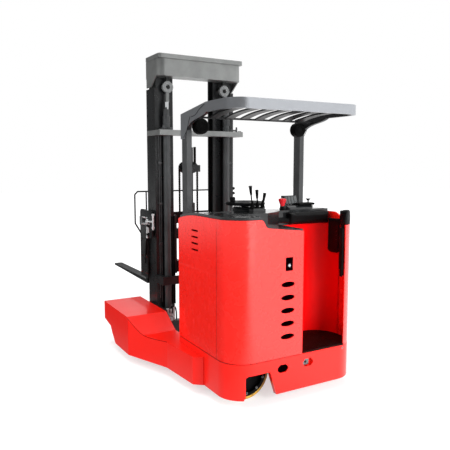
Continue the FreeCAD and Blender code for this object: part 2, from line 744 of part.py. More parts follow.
# --------------------------------------------------------------------------
# Console, controls and pads
# --------------------------------------------------------------------------
def deck():
    """Moulded deck inside the covers; its top follows theirs and stands a lip higher."""
    plate = body_outline(COVER_T, (DECK_BOTTOM, DECK_TOP))
    top = [(0, DECK_TOP)] + side_top(DECK_LIP)
    corners = [(BODY_FRONT, DECK_TOP + COVER_T), (0, DECK_TOP + COVER_T)]
    plate = plate.cut(curved_x(top[1:], corners[:1] + [(PANEL_SEAM_Y, DECK_TOP + COVER_T)],
                               (-BODY_HALF, BODY_HALF)))
    well = box((WELL_LEFT, BODY_HALF), (0, CONSOLE_REAR + PAD_DEPTH), (DECK_BOTTOM - OVER, DECK_TOP + OVER))
    plate = plate.cut(well).cut(rear_edge(DECK_LIP, (-OVER, TRAY_LEFT[1][1])))
    tray = list(TRAY_LEFT) + [(WELL_LEFT + OVER, CONSOLE_REAR), (WELL_LEFT + OVER, -OVER)]
    return plate.cut(prism_z(tray, (TRAY_TOP, DECK_TOP + OVER)))


def console():
    """Deck with the steering column's cover, the levers' block and the arm rest."""
    x, y, _ = STEERING_CENTRE
    column = Part.makeCone(COLUMN_R[0], COLUMN_R[1], COLUMN_TOP - DECK_BOTTOM - OVER,
                           V(x, y, DECK_BOTTOM + OVER), V(0, 0, 1))
    block = box(LEVER_BASE, LEVER_BLOCK_Y, (TRAY_TOP + OVER, LEVER_BLOCK_TOP))
    block = rounded(block, LEVER_BLOCK_R, lambda e: e.CenterOfMass.z > LEVER_BLOCK_TOP - 1)
    pod = box(POD_X, POD_Y, (DECK_BOTTOM + OVER, POD_TOP))
    pod = rounded(pod, POD_R, lambda e: along(e, "x") and e.CenterOfMass.z > POD_TOP - 1
                  or along(e, "z"))
    whole = join([deck(), column, block, pod])
    post = box(POST_X, POST_Y, (DECK_BOTTOM - OVER, GUARD_TOP))
    return whole.cut(post).cut(mirrored(post))


def console_pad():
    """Padded edge in front of the operator, with a thin flap at its left."""
    front = CONSOLE_REAR + PAD_DEPTH - SEAT_GAP
    pad = box(PAD_X, (CONSOLE_REAR, front), PAD_Z)
    pad = rounded(pad, PAD_EDGE_R, lambda e: e.CenterOfMass.y < CONSOLE_REAR + 1)
    flap = box((WELL_LEFT + FIT, PAD_X[0] + FIT), (CONSOLE_REAR + PAD_EDGE_R, front), FLAP_Z)
    return join([pad, flap])


def levers():
    pieces = []
    for x, lean, top in zip(LEVER_X, LEVER_LEAN, LEVER_TOP):
        foot, head = (x, LEVER_Y, LEVER_BLOCK_TOP + STICK_R), (x + lean, LEVER_Y, top)
        part = GRIP_L / (top - LEVER_BLOCK_TOP)
        neck = tuple(h + (f - h) * part for f, h in zip(foot, head))
        boot = Part.makeCone(STICK_R * 3, STICK_R * 1.6, GRIP_L / 4, V(x, LEVER_Y, LEVER_BLOCK_TOP),
                             V(0, 0, 1))
        pieces.append(join([boot, stick(foot, neck, (STICK_R, STICK_R + 0.5)), stick(neck, head, GRIP_R)]))
    return Part.makeCompound(pieces)


def screen():
    """Display on its foot, leaning towards the operator."""
    a, b = SCREEN_Y
    side = [(a, POD_TOP), (b, POD_TOP), (b + SCREEN_LEAN, SCREEN_TOP), (a + SCREEN_LEAN, SCREEN_TOP)]
    case = prism_x(side, SCREEN_X)
    return rounded(case, 12, lambda e: not along(e, "x") and e.CenterOfMass.z > POD_TOP + 1
                   and abs(e.CenterOfMass.z - SCREEN_TOP) > 1)


def console_controls():
    x, y = STOP_AT
    knee = DECK_TOP + STOP_H[0]
    stop = join([cyl_z(x, y, (DECK_TOP, knee), STOP_R[0]),
                 cyl_z(x, y, (knee, DECK_TOP + STOP_H[1]), STOP_R[0] * 0.7),
                 Part.makeCone(STOP_R[0], STOP_R[1], STOP_H[1] - STOP_H[0] - 10, V(x, y, knee),
                               V(0, 0, 1)),
                 cyl_z(x, y, (DECK_TOP + STOP_H[1] - 10, DECK_TOP + STOP_H[1]), STOP_R[1])])
    x, y = SWITCH_AT
    switch = join([cyl_z(x, y, (POD_TOP, SWITCH_TOP), SWITCH_R[0]),
                   Part.makeCone(SWITCH_R[0], SWITCH_R[1], SWITCH_CAP,
                                 V(x, y, SWITCH_TOP - SWITCH_CAP), V(0, 0, 1))])
    return Part.makeCompound([stop, screen(), switch])


def side_pad():
    """Pad on the liner's wide corner, with its two lower corners rounded."""
    ring = well_plan(LINER_T + SEAT_GAP, SIDE_PAD_Z).cut(well_plan(LINER_T + SIDE_PAD_T, SIDE_PAD_Z))
    keep = box((WELL_RIGHT, BODY_HALF), SIDE_PAD_Y, SIDE_PAD_Z)
    keep = rounded(keep, SIDE_PAD_R, lambda e: along(e, "x") and e.CenterOfMass.z < SIDE_PAD_Z[0] + 1)
    return ring.common(keep)


def hip_pad():
    """Pad along the edge of the right cover: a narrow strip under a lip over the cover's top."""
    inner = body_outline(COVER_T + HIP_T, (0, GUARD_TOP))
    strip = body_outline(COVER_T + SEAT_GAP, HIP_STRIP_Z).cut(inner)
    strip = strip.common(box(HIP_STRIP_X, (0, REAR_CORNER_R), (0, GUARD_TOP)))
    lip_z = (REAR_STRIP_TOP + SEAT_GAP, HIP_TOP)
    neck = body_outline(COVER_T + SEAT_GAP, (HIP_STRIP_Z[1] - OVER, lip_z[0] + OVER)).cut(inner)
    lip = body_outline(SEAM, lip_z).cut(inner)
    keep = box((HIP_STRIP_X[0], HIP_LIP_X), (0, REAR_CORNER_R - SEAM), (0, HIP_TOP))
    keep = rounded(keep, HIP_T, lambda e: along(e, "y") and e.CenterOfMass.z > HIP_TOP - 1)
    return join([strip, neck.common(keep), lip.common(keep)])


def back_pad():
    return Part.makeCompound([side_pad(), hip_pad()])


def steering_wheel():
    x, y, z = STEERING_CENTRE
    disc = cyl_z(x, y, span(z, STEERING_T), STEERING_R)
    disc = rounded(disc, STEERING_T * 0.45, round_edge)
    hub = cyl_z(x, y, (COLUMN_TOP + SEAT_GAP, z), STEERING_HUB_R)
    knob = cyl_z(x - KNOB_AT, y, (z, z + STEERING_T / 2 + KNOB_H), KNOB_R)
    return join([disc, hub, knob])


# --------------------------------------------------------------------------
# Overhead guard
# --------------------------------------------------------------------------
def guard_post():
    return box(POST_X, POST_Y, (POST_BASE, POST_TOP))


def hoop():
    """The guard's rim: a band round the rear, whose arms curve down to the posts."""
    rim_bottom = GUARD_TOP - RIM_HEIGHT
    flat, foot = ARM_BEND_Y
    curve = [(flat, rim_bottom), ((flat + foot) / 2 + ARM_PULL[0], rim_bottom - RIM_HEIGHT * 0.6),
             (foot - ARM_PULL[1], ARM_Z[0] + RIM_HEIGHT), (foot, ARM_Z[0])]
    corners = [(ARM_FRONT, ARM_Z[0]), (ARM_FRONT, ARM_Z[1]), (flat, GUARD_TOP), (0, GUARD_TOP),
               (0, rim_bottom)]
    side = curved_x(curve, corners, (-GUARD_HALF, GUARD_HALF))
    z = (ARM_Z[0] - OVER, GUARD_TOP + OVER)
    outside = rounded(box((-GUARD_HALF, GUARD_HALF), (0, ARM_FRONT), z), GUARD_CORNER_R,
                      lambda e: along(e, "z") and e.CenterOfMass.y < 1)
    half = GUARD_HALF - RIM_T
    inside = rounded(box((-half, half), (RIM_T, ARM_FRONT + OVER), z), GUARD_CORNER_R - RIM_T,
                     lambda e: along(e, "z") and e.CenterOfMass.y < RIM_T + 1)
    return outside.cut(inside).common(side)


def slat(x):
    """Flat bar from the rear rim, curving down to the front bar."""
    low, high = SLAT_Z
    rear, front = RIM_T / 2, sum(GUARD_BAR_Y) / 2
    middle = (SLAT_BEND_Y + front) / 2
    curve = [(rear, high), (SLAT_BEND_Y, high - 8), (middle, high - 0.42 * (high - low)), (front, low)]
    bottom = Part.BSplineCurve()
    bottom.interpolate([V(x, y, z) for y, z in curve])
    sheet = bottom.toShape().extrude(V(0, 0, SLAT_T)).Faces[0]
    slab = sheet.extrude(V(SLAT_W, 0, 0))
    slab.translate(V(-SLAT_W / 2, 0, 0))
    return slab


def guard_roof():
    reach = GUARD_HALF - RIM_T / 2
    bar = box((-reach, reach), GUARD_BAR_Y, (SLAT_Z[0], SLAT_Z[0] + GUARD_BAR_H))
    pitch = 2 * (GUARD_HALF - RIM_T) / (SLAT_COUNT + 1)
    slats = [slat(pitch * (i - (SLAT_COUNT - 1) / 2)) for i in range(SLAT_COUNT)]
    roof = join([hoop(), bar] + slats)
    return roof.cut(guard_post()).cut(mirrored(guard_post()))


def work_lamps():
    lamp = rounded(cyl_y(LAMP_X, LAMP_Y, LAMP_Z, LAMP_R), LAMP_EDGE_R, round_edge)
    arm_y = (LAMP_Y[1] - LAMP_ARM_Y[0], LAMP_Y[1] - LAMP_ARM_Y[1])
    arm = box((LAMP_X, GUARD_HALF - RIM_T), arm_y, LAMP_ARM_Z)
    return both_sides(join([lamp, arm]))


# --------------------------------------------------------------------------
# Wheels and their carriers
# --------------------------------------------------------------------------
def drive_housing():
    x, y = DRIVE_PIVOT
    tyre_top = DRIVE_R * 2 + CROWN_GAP
    under_bridge = BRIDGE_Z - CROWN_GAP
    seat = BRIDGE_Z + BRIDGE_T + CROWN_GAP
    turret = cyl_z(x, y, (tyre_top, seat), TURRET_R)
    motor = cyl_z(x, y, (seat, seat + MOTOR_H), MOTOR_R)
    face = y + DRIVE_WIDTH / 2 + GEARBOX_GAP
    half = GEARBOX_HALF
    leg = box((x - half, x + half), (face, face + GEARBOX_T), (DRIVE_R - half, under_bridge))
    crown = box((x - half, x + half), (y - half, face + GEARBOX_T), (tyre_top, under_bridge))
    axle = cyl_y(x, (y - AXLE_DEPTH, face + OVER), DRIVE_R, AXLE_R)
    return join([turret, motor, leg, crown, axle])


def drive_wheel():
    x, y = DRIVE_PIVOT
    rear, front = span(y, DRIVE_WIDTH)
    rim_r = DRIVE_R - TYRE_T
    disc = cyl_y(x, (rear, front), DRIVE_R, rim_r)
    dish = cyl_y(x, (rear - OVER, rear + DISH_DEPTH), DRIVE_R, rim_r - DISH_RIM)
    hub = cyl_y(x, (rear, rear + DRIVE_HUB[1]), DRIVE_R, DRIVE_HUB[0])
    bore = cyl_y(x, (y - AXLE_DEPTH - SEAT_GAP, front + OVER), DRIVE_R, AXLE_R + RUNNING_FIT)
    return join([disc.cut(dish), hub]).cut(bore)


def drive_tyre():
    x, y = DRIVE_PIVOT
    rear, front = span(y, DRIVE_WIDTH)
    tyre = bevelled(cyl_y(x, (rear, front), DRIVE_R, DRIVE_R), TYRE_BEVEL)
    return tyre.cut(cyl_y(x, (rear - OVER, front + OVER), DRIVE_R, DRIVE_R - TYRE_T))


def yoke(pivot, wheel_r, width, trail, stem_r, well_top):
    """Swivel fork: stem, crown plate, two cheeks and the wheel's pin."""
    x, y = pivot
    inner = width / 2 + CHEEK_GAP
    outer = inner + CHEEK_T
    top = well_top - SEAT_GAP
    axle_y = y - trail
    crown = box((x - outer, x + outer), (axle_y - CHEEK_HALF, y + CROWN_FRONT), (top - CROWN_T, top))
    stem = cyl_z(x, y, (top - OVER, well_top + STEM_BORE - STEM_END), stem_r)
    pieces = [crown, stem]
    for side in (-1, 1):
        a, b = side_span(side, (inner, outer))
        pieces.append(box((x + a, x + b), (axle_y - CHEEK_HALF, axle_y + CHEEK_HALF),
                          (wheel_r - CHEEK_HALF, top)))
        a, b = side_span(side, (inner - CHEEK_GAP + SEAT_GAP, inner))
        pieces.append(cyl_x((x + a, x + b), axle_y, wheel_r, BOSS_R))
    pieces.append(cyl_x((x - outer, x + outer), axle_y, wheel_r, PIN_R))
    return join(pieces)


def rolled_wheel(x, y, r, width):
    wheel = bevelled(cyl_x(span(x, width), y, r, r), WHEEL_BEVEL)
    return wheel.cut(cyl_x((x - width, x + width), y, r, PIN_R + RUNNING_FIT))


def caster_fork():
    return yoke(CASTER_PIVOT, CASTER_R, CASTER_WIDTH, CASTER_TRAIL, CASTER_STEM_R, CASTER_WELL_TOP)


def caster_wheel():
    return rolled_wheel(CASTER_PIVOT[0], CASTER_PIVOT[1] - CASTER_TRAIL, CASTER_R, CASTER_WIDTH)


def load_yoke():
    return yoke(LOAD_PIVOT, LOAD_R, LOAD_WIDTH, 0.0, LOAD_STEM_R, LOAD_WELL_TOP)


def load_wheel():
    return rolled_wheel(LOAD_PIVOT[0], LOAD_PIVOT[1], LOAD_R, LOAD_WIDTH)


# --------------------------------------------------------------------------
# Mast
# --------------------------------------------------------------------------
def stage_x(level):
    """X limits of stage 0, 1 or 2 of the right uprights, each inside the one before."""
    return (FLANGE_EDGE[level], MAST_HALF - level * (WEB_T + STAGE_GAP))


def stage_y(level):
    inset = level * (FLANGE_T + STAGE_GAP)
    return (MAST_REAR + inset, MAST_FRONT - inset)


def upright(level, z):
    """Right-hand upright: a channel open towards the middle."""
    x, y = stage_x(level), stage_y(level)
    web = box((x[1] - WEB_T, x[1]), y, z)
    rear = box(x, (y[0], y[0] + FLANGE_T), z)
    front = box(x, (y[1] - FLANGE_T, y[1]), z)
    return join([web, rear, front])


def wear_pads(level, bottom):
    """Slide pads on an upright's flanges, filling the gap to the stage around it."""
    x = (stage_x(level - 1)[0] + SEAM, stage_x(level)[1])
    y, t = stage_y(level), STAGE_GAP - SEAT_GAP
    pads = []
    for z in (bottom, bottom + WEAR_PAD_PITCH):
        for y0 in (y[0] - t, y[1]):
            pads.append(box(x, (y0, y0 + t), (z, z + WEAR_PAD_H)))
    return pads


def reach_carriage():
    floor = box((-BASE_HALF, BASE_HALF), (BASE_FLOOR_Y, BASE_Y[1]), (BASE_BOTTOM, OUTER_Z[0]))
    side = box((MAST_HALF, BASE_HALF), BASE_Y, (BASE_BOTTOM, BASE_SIDE_TOP))
    rear = box((-BASE_HALF, BASE_HALF), BASE_REAR_Y, (BASE_BOTTOM, BASE_REAR_TOP))
    pieces = [floor, side, mirrored(side), rear]
    z, height = sum(CHANNEL_Z) / 2, CHANNEL_Z[1] - CHANNEL_Z[0]
    roller_x = (LEG_INNER + REACH_ROLLER_X[0], LEG_INNER + REACH_ROLLER_X[1])
    for y in REACH_ROLLERS_Y:
        wheel = cyl_x(roller_x, y, z, height / 2 - SEAT_GAP)
        pin = cyl_x((BASE_HALF - OVER, roller_x[0] + OVER), y, z, REACH_PIN_R)
        pieces += [wheel, pin, mirrored(wheel), mirrored(pin)]
    return join(pieces)


def outer_uprights():
    right = upright(0, OUTER_Z)
    tie = box((-MAST_HALF, MAST_HALF), REACH_TIE_Y, REACH_TIE_Z)
    end = box(stage_x(0), (REACH_TIE_Y[0], MAST_REAR), REACH_TIE_Z)
    return join([right, mirrored(right), tie, end, mirrored(end)])


def mast_collar():
    bar = box((-COLLAR_HALF, COLLAR_HALF), (COLLAR_REAR, MAST_REAR - SEAM), COLLAR_Z)
    wing = box((MAST_HALF, COLLAR_HALF), (COLLAR_REAR, COLLAR_FRONT), COLLAR_Z)
    foot = box((FLANGE_EDGE[0], COLLAR_HALF), (COLLAR_REAR, MAST_REAR), COLLAR_Z)
    collar = join([bar, wing, mirrored(wing), foot, mirrored(foot)])
    hole = cyl_z(CYL_X, CYL_Y, (COLLAR_Z[0] - OVER, COLLAR_Z[1] + OVER), BARREL_R)
    return collar.cut(hole).cut(mirrored(hole))


def bored(barrel, x, y, bottom, top, bore_r, rod_r):
    """A cylinder's barrel, bored for its rod, with a guide at the top."""
    bore = cyl_z(x, y, (bottom, top + OVER), bore_r)
    guide = cyl_z(x, y, (top - GUIDE_H, top), bore_r + OVER)
    guide = guide.cut(cyl_z(x, y, (top - GUIDE_H - OVER, top + OVER), rod_r + RUNNING_FIT))
    return join([barrel.cut(bore), guide])


def lift_barrels():
    barrel = join([cyl_z(CYL_X, CYL_Y, (OUTER_Z[0], COLLAR_Z[1] + BARREL_COLLAR), BARREL_R),
                   cyl_z(CYL_X, CYL_Y, (COLLAR_Z[1], GLAND_TOP), GLAND_R)])
    return both_sides(bored(barrel, CYL_X, CYL_Y, ROD_Z[0] - ROD_ROOM, GLAND_TOP, BARREL_BORE, ROD_R))


def mid_uprights():
    right = join([upright(1, MID_Z)] + wear_pads(1, MID_Z[0]))
    reach = FLANGE_EDGE[1] + SEAM
    tie = box((-reach, reach), MID_TIE_Y, (MID_Z[0], MID_Z[0] + MID_TIE_H))
    return join([right, mirrored(right), tie])


def mast_head():
    split_y = stage_y(2)[0] - STAGE_GAP
    beam_rear = COLLAR_REAR + HEAD_INSET
    cap_z = (HEAD_Z[1], HEAD_Z[1] + CAP_T)
    beam = box((-HEAD_HALF, HEAD_HALF), (beam_rear, split_y), HEAD_Z)
    beam = rounded(beam, HEAD_CORNER_R,
                   lambda e: along(e, "z") and e.CenterOfMass.y < beam_rear + 1)
    cap = box((-COLLAR_HALF, COLLAR_HALF), (COLLAR_REAR, split_y), cap_z)
    cap = rounded(cap, CAP_CORNER_R, lambda e: along(e, "z") and e.CenterOfMass.y < COLLAR_REAR + 1)
    inner = stage_x(2)[1] + STAGE_GAP
    cap_wing = box((inner, COLLAR_HALF), (split_y - OVER, COLLAR_FRONT), cap_z)
    y_top, y_low, y_front = HEAD_WING_Y
    wing = prism_x([(y_top, HEAD_Z[1]), (y_top, HEAD_Z[0]), (y_low, HEAD_Z[0]),
                    (y_front, HEAD_WING_BOTTOM), (COLLAR_FRONT, HEAD_WING_BOTTOM),
                    (COLLAR_FRONT, HEAD_Z[1])],
                   (MAST_HALF + STAGE_GAP, MAST_HALF + STAGE_GAP + HEAD_WING_T))
    web = box((stage_x(1)[1], MAST_HALF + STAGE_GAP + OVER), (split_y, MAST_FRONT - HEAD_INSET), HEAD_Z)
    head = join([beam, cap, cap_wing, mirrored(cap_wing), wing, mirrored(wing), web, mirrored(web)])
    room = box((0, stage_x(1)[1]), stage_y(1), (0, HEAD_Z[1]))
    return head.cut(room).cut(mirrored(room))


def lift_rods():
    """Rods with the link and the eye that carry the mid stage's head."""
    bar = cyl_z(CYL_X, CYL_Y, ROD_Z, ROD_R)
    half_x, half_y = CLEVIS_HALF
    clevis_top = ROD_Z[1] + CLEVIS_H
    clevis = box((CYL_X - half_x, CYL_X + half_x), (CYL_Y - half_y, CYL_Y + half_y),
                 (ROD_Z[1], clevis_top))
    link = box((CYL_X + LINK_X[0], CYL_X + LINK_X[1]), (CYL_Y - LINK_HALF, CYL_Y + LINK_HALF),
               (clevis_top, RING_Z - RING_R + CROWN_GAP))
    y = (CYL_Y, CYL_Y + RING_W)
    ring = cyl_y(RING_X, y, RING_Z, RING_R)
    hanger = box((RING_X - HANGER_HALF, RING_X + HANGER_HALF), y,
                 (RING_Z + RING_R - HANGER_SINK, HEAD_Z[0]))
    bore = cyl_y(RING_X, (y[0] - OVER, y[1] + OVER), RING_Z, RING_BORE)
    return both_sides(join([bar, clevis, link, ring, hanger]).cut(bore))


def inner_uprights():
    right = join([upright(2, INNER_Z)] + wear_pads(2, INNER_Z[0]))
    reach, rear = FLANGE_EDGE[2] + SEAM, stage_y(2)[0]
    ties = [box((-reach, reach), (rear, rear + INNER_TIE_T), z)
            for z in ((INNER_Z[0], INNER_Z[0] + INNER_TIE_H), INNER_TOP_TIE_Z)]
    seat = box((-FREE_SEAT[0], FREE_SEAT[0]), (rear, FREE_SEAT[1]), (INNER_Z[0], FREE_BARREL_Z[0]))
    return join([right, mirrored(right), seat] + ties)


def free_lift_barrel():
    barrel = cyl_z(0, FREE_Y, FREE_BARREL_Z, FREE_BARREL_R)
    return bored(barrel, 0, FREE_Y, FREE_ROD_Z[0] - FREE_ROOM, FREE_BARREL_Z[1], FREE_BORE, FREE_ROD_R)


def free_lift_head():
    """Rod with the crosshead that carries two chain sheaves."""
    sheave_y = span(SHEAVE_Y, SHEAVE_W)
    block = box((-CROSSHEAD_HALF, CROSSHEAD_HALF), (FREE_Y - CROSSHEAD_REAR, sheave_y[0] - STAGE_GAP / 2),
                (SHEAVE_Z - CROSSHEAD_Z[0], SHEAVE_Z + CROSSHEAD_Z[1]))
    pieces = [cyl_z(0, FREE_Y, FREE_ROD_Z, FREE_ROD_R), block]
    for x in (-SHEAVE_X, SHEAVE_X):
        pieces.append(cyl_y(x, (sheave_y[0] - STAGE_GAP, sheave_y[1]), SHEAVE_Z, SHEAVE_PIN_R))
        pieces.append(cyl_y(x, sheave_y, SHEAVE_Z, SHEAVE_R - CHAIN_T - SEAT_GAP))
    return join(pieces)


def lift_chains():
    """Each chain as a plain bar over its sheave and down to the carriage."""
    right = SHEAVE_X + SHEAVE_R
    y = span(SHEAVE_Y, CHAIN_W)
    loop = cyl_y(SHEAVE_X, y, SHEAVE_Z, SHEAVE_R).cut(cyl_y(SHEAVE_X, y, SHEAVE_Z, SHEAVE_R - CHAIN_T))
    loop = loop.common(box((CHAIN_PARTING, right), y, (SHEAVE_Z, SHEAVE_Z + SHEAVE_R)))
    run = box((right - CHAIN_T, right), y, (CHAIN_BOTTOM, SHEAVE_Z))
    return both_sides(join([loop, run]))


# --------------------------------------------------------------------------
# Carriage, fork frame and forks
# --------------------------------------------------------------------------
def lift_carriage():
    plate = box(PLATE_X, PLATE_Y, CARRIAGE_Z)
    plate = rounded(plate, PLATE_CORNER_R,
                    lambda e: along(e, "x") and e.CenterOfMass.z > CARRIAGE_Z[1] - 1)
    pieces = [plate, mirrored(plate)]
    cross = PLATE_X[1] - OVER
    pieces += [box((-cross, cross), CROSS_Y, z) for z in CROSS_Z]
    inner_y = stage_y(2)
    axis_y = sum(inner_y) / 2
    roller_r = (inner_y[1] - inner_y[0]) / 2 - FLANGE_T - SEAT_GAP
    roller_end = stage_x(2)[1] - WEB_T - ROLLER_SIDE_GAP
    for side in (-1, 1):
        pieces.append(box(side_span(side, ROLLER_ARM_X), (axis_y - ROLLER_ARM_Y[0], ROLLER_ARM_Y[1]),
                          ROLLER_ARM_Z))
        for z in ROLLER_Z:
            pin = side_span(side, (ROLLER_ARM_X[1] - SEAM, roller_end))
            pieces.append(cyl_x(pin, axis_y, z, ROLLER_PIN_R))
            pieces.append(cyl_x(side_span(side, (roller_end - ROLLER_W, roller_end)), axis_y, z, roller_r))
    # ears that hold the tilt pin
    reach, half = EAR_SIZE
    for x in EAR_X:
        ear = box((x, x + EAR_T), (CROSS_Y[1] - CROWN_GAP, TILT_Y + reach), (TILT_Z - half, TILT_Z + half))
        pin = cyl_x((x - OVER, x + EAR_T + OVER), TILT_Y, TILT_Z, TILT_PIN_R + RUNNING_FIT)
        pieces.append(ear.cut(pin))
    return join(pieces)


def valve_block():
    left = -PLATE_X[1]
    block = box((left - VALVE_W, left), VALVE_Y, VALVE_Z)
    port = cyl_y(left - VALVE_W / 2, (VALVE_Y[0] - PORT_L, VALVE_Y[0]), sum(VALVE_Z) / 2, PORT_R)
    return join([block, port])


def fork_frame():
    y, bottom, top = FORK_FRAME_Y, TILT_Z - LOWER_BAR[0], UPPER_BAR_Z[1]
    wide = (-FRAME_HALF, FRAME_HALF)
    pieces = [box(wide, y, (bottom, TILT_Z + LOWER_BAR[1])), box(wide, y, UPPER_BAR_Z)]
    for x in (-FRAME_HALF, FRAME_HALF - STILE_W) + STILE_X:
        pieces.append(box((x, x + STILE_W), (y[0], y[1] - CHEEK_GAP), (bottom, top)))
    pieces.append(cyl_x((-TILT_PIN_HALF, TILT_PIN_HALF), TILT_Y, TILT_Z, TILT_PIN_R))
    reach, half = LUG_SIZE
    for x in LUG_X:
        pieces.append(box((x, x + EAR_T), (TILT_Y - reach, y[0] + OVER), (TILT_Z - half, TILT_Z + half)))
    return join(pieces)


def load_backrest():
    """Hoop of round bar with four uprights, standing on a shelf over the fork frame."""
    y, r = BACKREST_Y, BACKREST_ROD_R
    side, top = BACKREST_HALF - r, BACKREST_TOP - r
    shelf_z = (UPPER_BAR_Z[1], UPPER_BAR_Z[1] + SHELF_T)
    foot_z = shelf_z[0] - FORK_T + CHEEK_T
    right = [(side - BACKREST_CORNER, y, top), (side, y, top - BACKREST_CORNER),
             (side, y, BACKREST_BEND_Z), (BACKREST_FOOT, y, foot_z)]
    left = [(-x, b, c) for x, b, c in reversed(right)]
    hoop_bar = rod(left + right, r)
    bars = [rod([(x, y, shelf_z[0] - CHEEK_T), (x, y, top)], r) for x in BACKREST_BARS]
    shelf = box((-BACKREST_FOOT, BACKREST_FOOT), (FORK_FRAME_Y[0] + CHEEK_T, y + r), shelf_z)
    return join([hoop_bar, shelf] + bars)


def fork_right():
    y, top = FORK_FRAME_Y[1] + SEAT_GAP, FORK_BOTTOM + FORK_T
    taper, rise, nose = FORK_NOSE
    blade = prism_x([(y, FORK_BOTTOM), (FORK_TIP - taper, FORK_BOTTOM + rise),
                     (FORK_TIP, FORK_BOTTOM + nose), (FORK_TIP, top), (y + FORK_T, top),
                     (y + FORK_T, SHANK_TOP), (y, SHANK_TOP)], FORK_X)
    return rounded(blade, FORK_TIP_R, lambda e: along(e, "z") and e.CenterOfMass.y > FORK_TIP - 2)


# --------------------------------------------------------------------------
# Parts
# --------------------------------------------------------------------------
def main():
    os.makedirs("parts", exist_ok=True)
    leg, fork = leg_right(), fork_right()
    yoke_right, wheel_right = load_yoke(), load_wheel()
    parts = {
        "chassis_frame": chassis_frame(), "leg_left": mirrored(leg), "leg_right": leg,
        "rear_cover": rear_cover(), "left_panel": left_panel(), "right_cover": right_cover(),
        "front_panel": front_panel(), "operator_liner": operator_liner(),
        "floor_mat": floor_mat(), "battery": battery(), "console": console(),
        "console_pad": console_pad(), "levers": levers(), "console_controls": console_controls(),
        "back_pad": back_pad(), "guard_posts": both_sides(guard_post()),
        "guard_roof": guard_roof(), "work_lamps": work_lamps(),
        "steering_wheel": steering_wheel(), "drive_housing": drive_housing(),
        "drive_wheel": drive_wheel(), "drive_tyre": drive_tyre(),
        "caster_fork": caster_fork(), "caster_wheel": caster_wheel(),
        "load_yoke_left": mirrored(yoke_right), "load_yoke_right": yoke_right,
        "load_wheel_left": mirrored(wheel_right), "load_wheel_right": wheel_right,
        "reach_carriage": reach_carriage(), "outer_uprights": outer_uprights(),
        "mast_collar": mast_collar(), "lift_barrels": lift_barrels(),
        "mid_uprights": mid_uprights(), "mast_head": mast_head(), "lift_rods": lift_rods(),
        "inner_uprights": inner_uprights(), "free_lift_barrel": free_lift_barrel(),
        "free_lift_head": free_lift_head(), "lift_chains": lift_chains(),
        "lift_carriage": lift_carriage(), "valve_block": valve_block(),
        "fork_frame": fork_frame(), "load_backrest": load_backrest(),
        "fork_left": mirrored(fork), "fork_right": fork,
    }
    for name, shape in parts.items():
        if not shape.isValid():
            print("not valid:", name)
        export(name, shape)
    print(len(parts), "parts")


main()
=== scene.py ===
"""Stand-on electric reach truck: finishes, pads, fittings, lights and camera.

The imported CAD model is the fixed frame. Each operator dresses one group of
pieces, and main() calls them in order. Lengths are in metres. Places along
the truck are given from the rear face of the body, and at() turns them into
the frame's own coordinates.
"""
import json
from math import atan2, cos, pi, radians, sin, sqrt

import bmesh
import bpy
from bpy.props import FloatProperty, IntProperty, PointerProperty, StringProperty
from mathutils import Matrix, Vector
from mathutils.bvhtree import BVHTree

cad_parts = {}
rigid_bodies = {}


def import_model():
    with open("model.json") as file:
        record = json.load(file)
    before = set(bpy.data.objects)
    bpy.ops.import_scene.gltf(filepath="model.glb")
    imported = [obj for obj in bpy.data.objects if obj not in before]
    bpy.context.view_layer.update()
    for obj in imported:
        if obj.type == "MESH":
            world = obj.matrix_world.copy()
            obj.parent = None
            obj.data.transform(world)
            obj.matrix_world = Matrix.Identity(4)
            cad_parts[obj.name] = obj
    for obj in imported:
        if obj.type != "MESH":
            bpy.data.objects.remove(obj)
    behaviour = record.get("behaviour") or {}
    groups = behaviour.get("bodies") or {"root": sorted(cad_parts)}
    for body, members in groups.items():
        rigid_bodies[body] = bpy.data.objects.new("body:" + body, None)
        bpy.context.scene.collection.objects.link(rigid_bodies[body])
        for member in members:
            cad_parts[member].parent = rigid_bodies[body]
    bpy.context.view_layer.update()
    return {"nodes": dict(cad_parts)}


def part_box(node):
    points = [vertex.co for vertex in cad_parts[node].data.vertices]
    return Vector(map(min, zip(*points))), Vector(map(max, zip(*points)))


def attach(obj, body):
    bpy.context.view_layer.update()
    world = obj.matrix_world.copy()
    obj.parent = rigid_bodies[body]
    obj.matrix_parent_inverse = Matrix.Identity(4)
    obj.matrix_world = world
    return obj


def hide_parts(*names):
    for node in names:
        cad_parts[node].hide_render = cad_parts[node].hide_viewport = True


bl_info = {
    "name": "Reach Truck Dressing",
    "version": (1, 0, 0),
    "blender": (4, 5, 0),
    "location": "View3D > Sidebar > Truck",
    "description": "Finishes and fittings of a stand-on electric reach truck",
    "category": "Object",
}

for spare in list(bpy.data.objects):
    bpy.data.objects.remove(spare)
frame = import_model()
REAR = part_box("chassis_frame")[0].y
UP, REARWARD, FORWARD, LEFTWARD = (0, 0, 1), (0, -1, 0), (0, 1, 0), (-1, 0, 0)


def at(x, y, z):
    """A place in the frame, with y measured from the rear face of the body."""
    return Vector((x, REAR + y, z))


# ---- Settings ----
class TruckColours(bpy.types.PropertyGroup):
    """Colours of the main finishes, as sRGB hex values."""
    cover: StringProperty(
        name="Covers", description="Gloss enamel of the body covers", default="#F41A0D")
    frame: StringProperty(
        name="Frame", description="Thick enamel of the chassis and the legs", default="#F3190C")
    liner: StringProperty(
        name="Well liner", description="Red inside the operator's well", default="#EA0A0C")
    mast: StringProperty(
        name="Mast", description="Satin black paint of the mast", default="#151617")
    head: StringProperty(
        name="Mast head", description="Grey paint of the head beam and collar", default="#A0A2A1")
    guard: StringProperty(
        name="Guard", description="Grey paint of the overhead guard", default="#BCBFC4")
    tyre: StringProperty(
        name="Tyres", description="Cast polyurethane of the tyres", default="#C4963C")


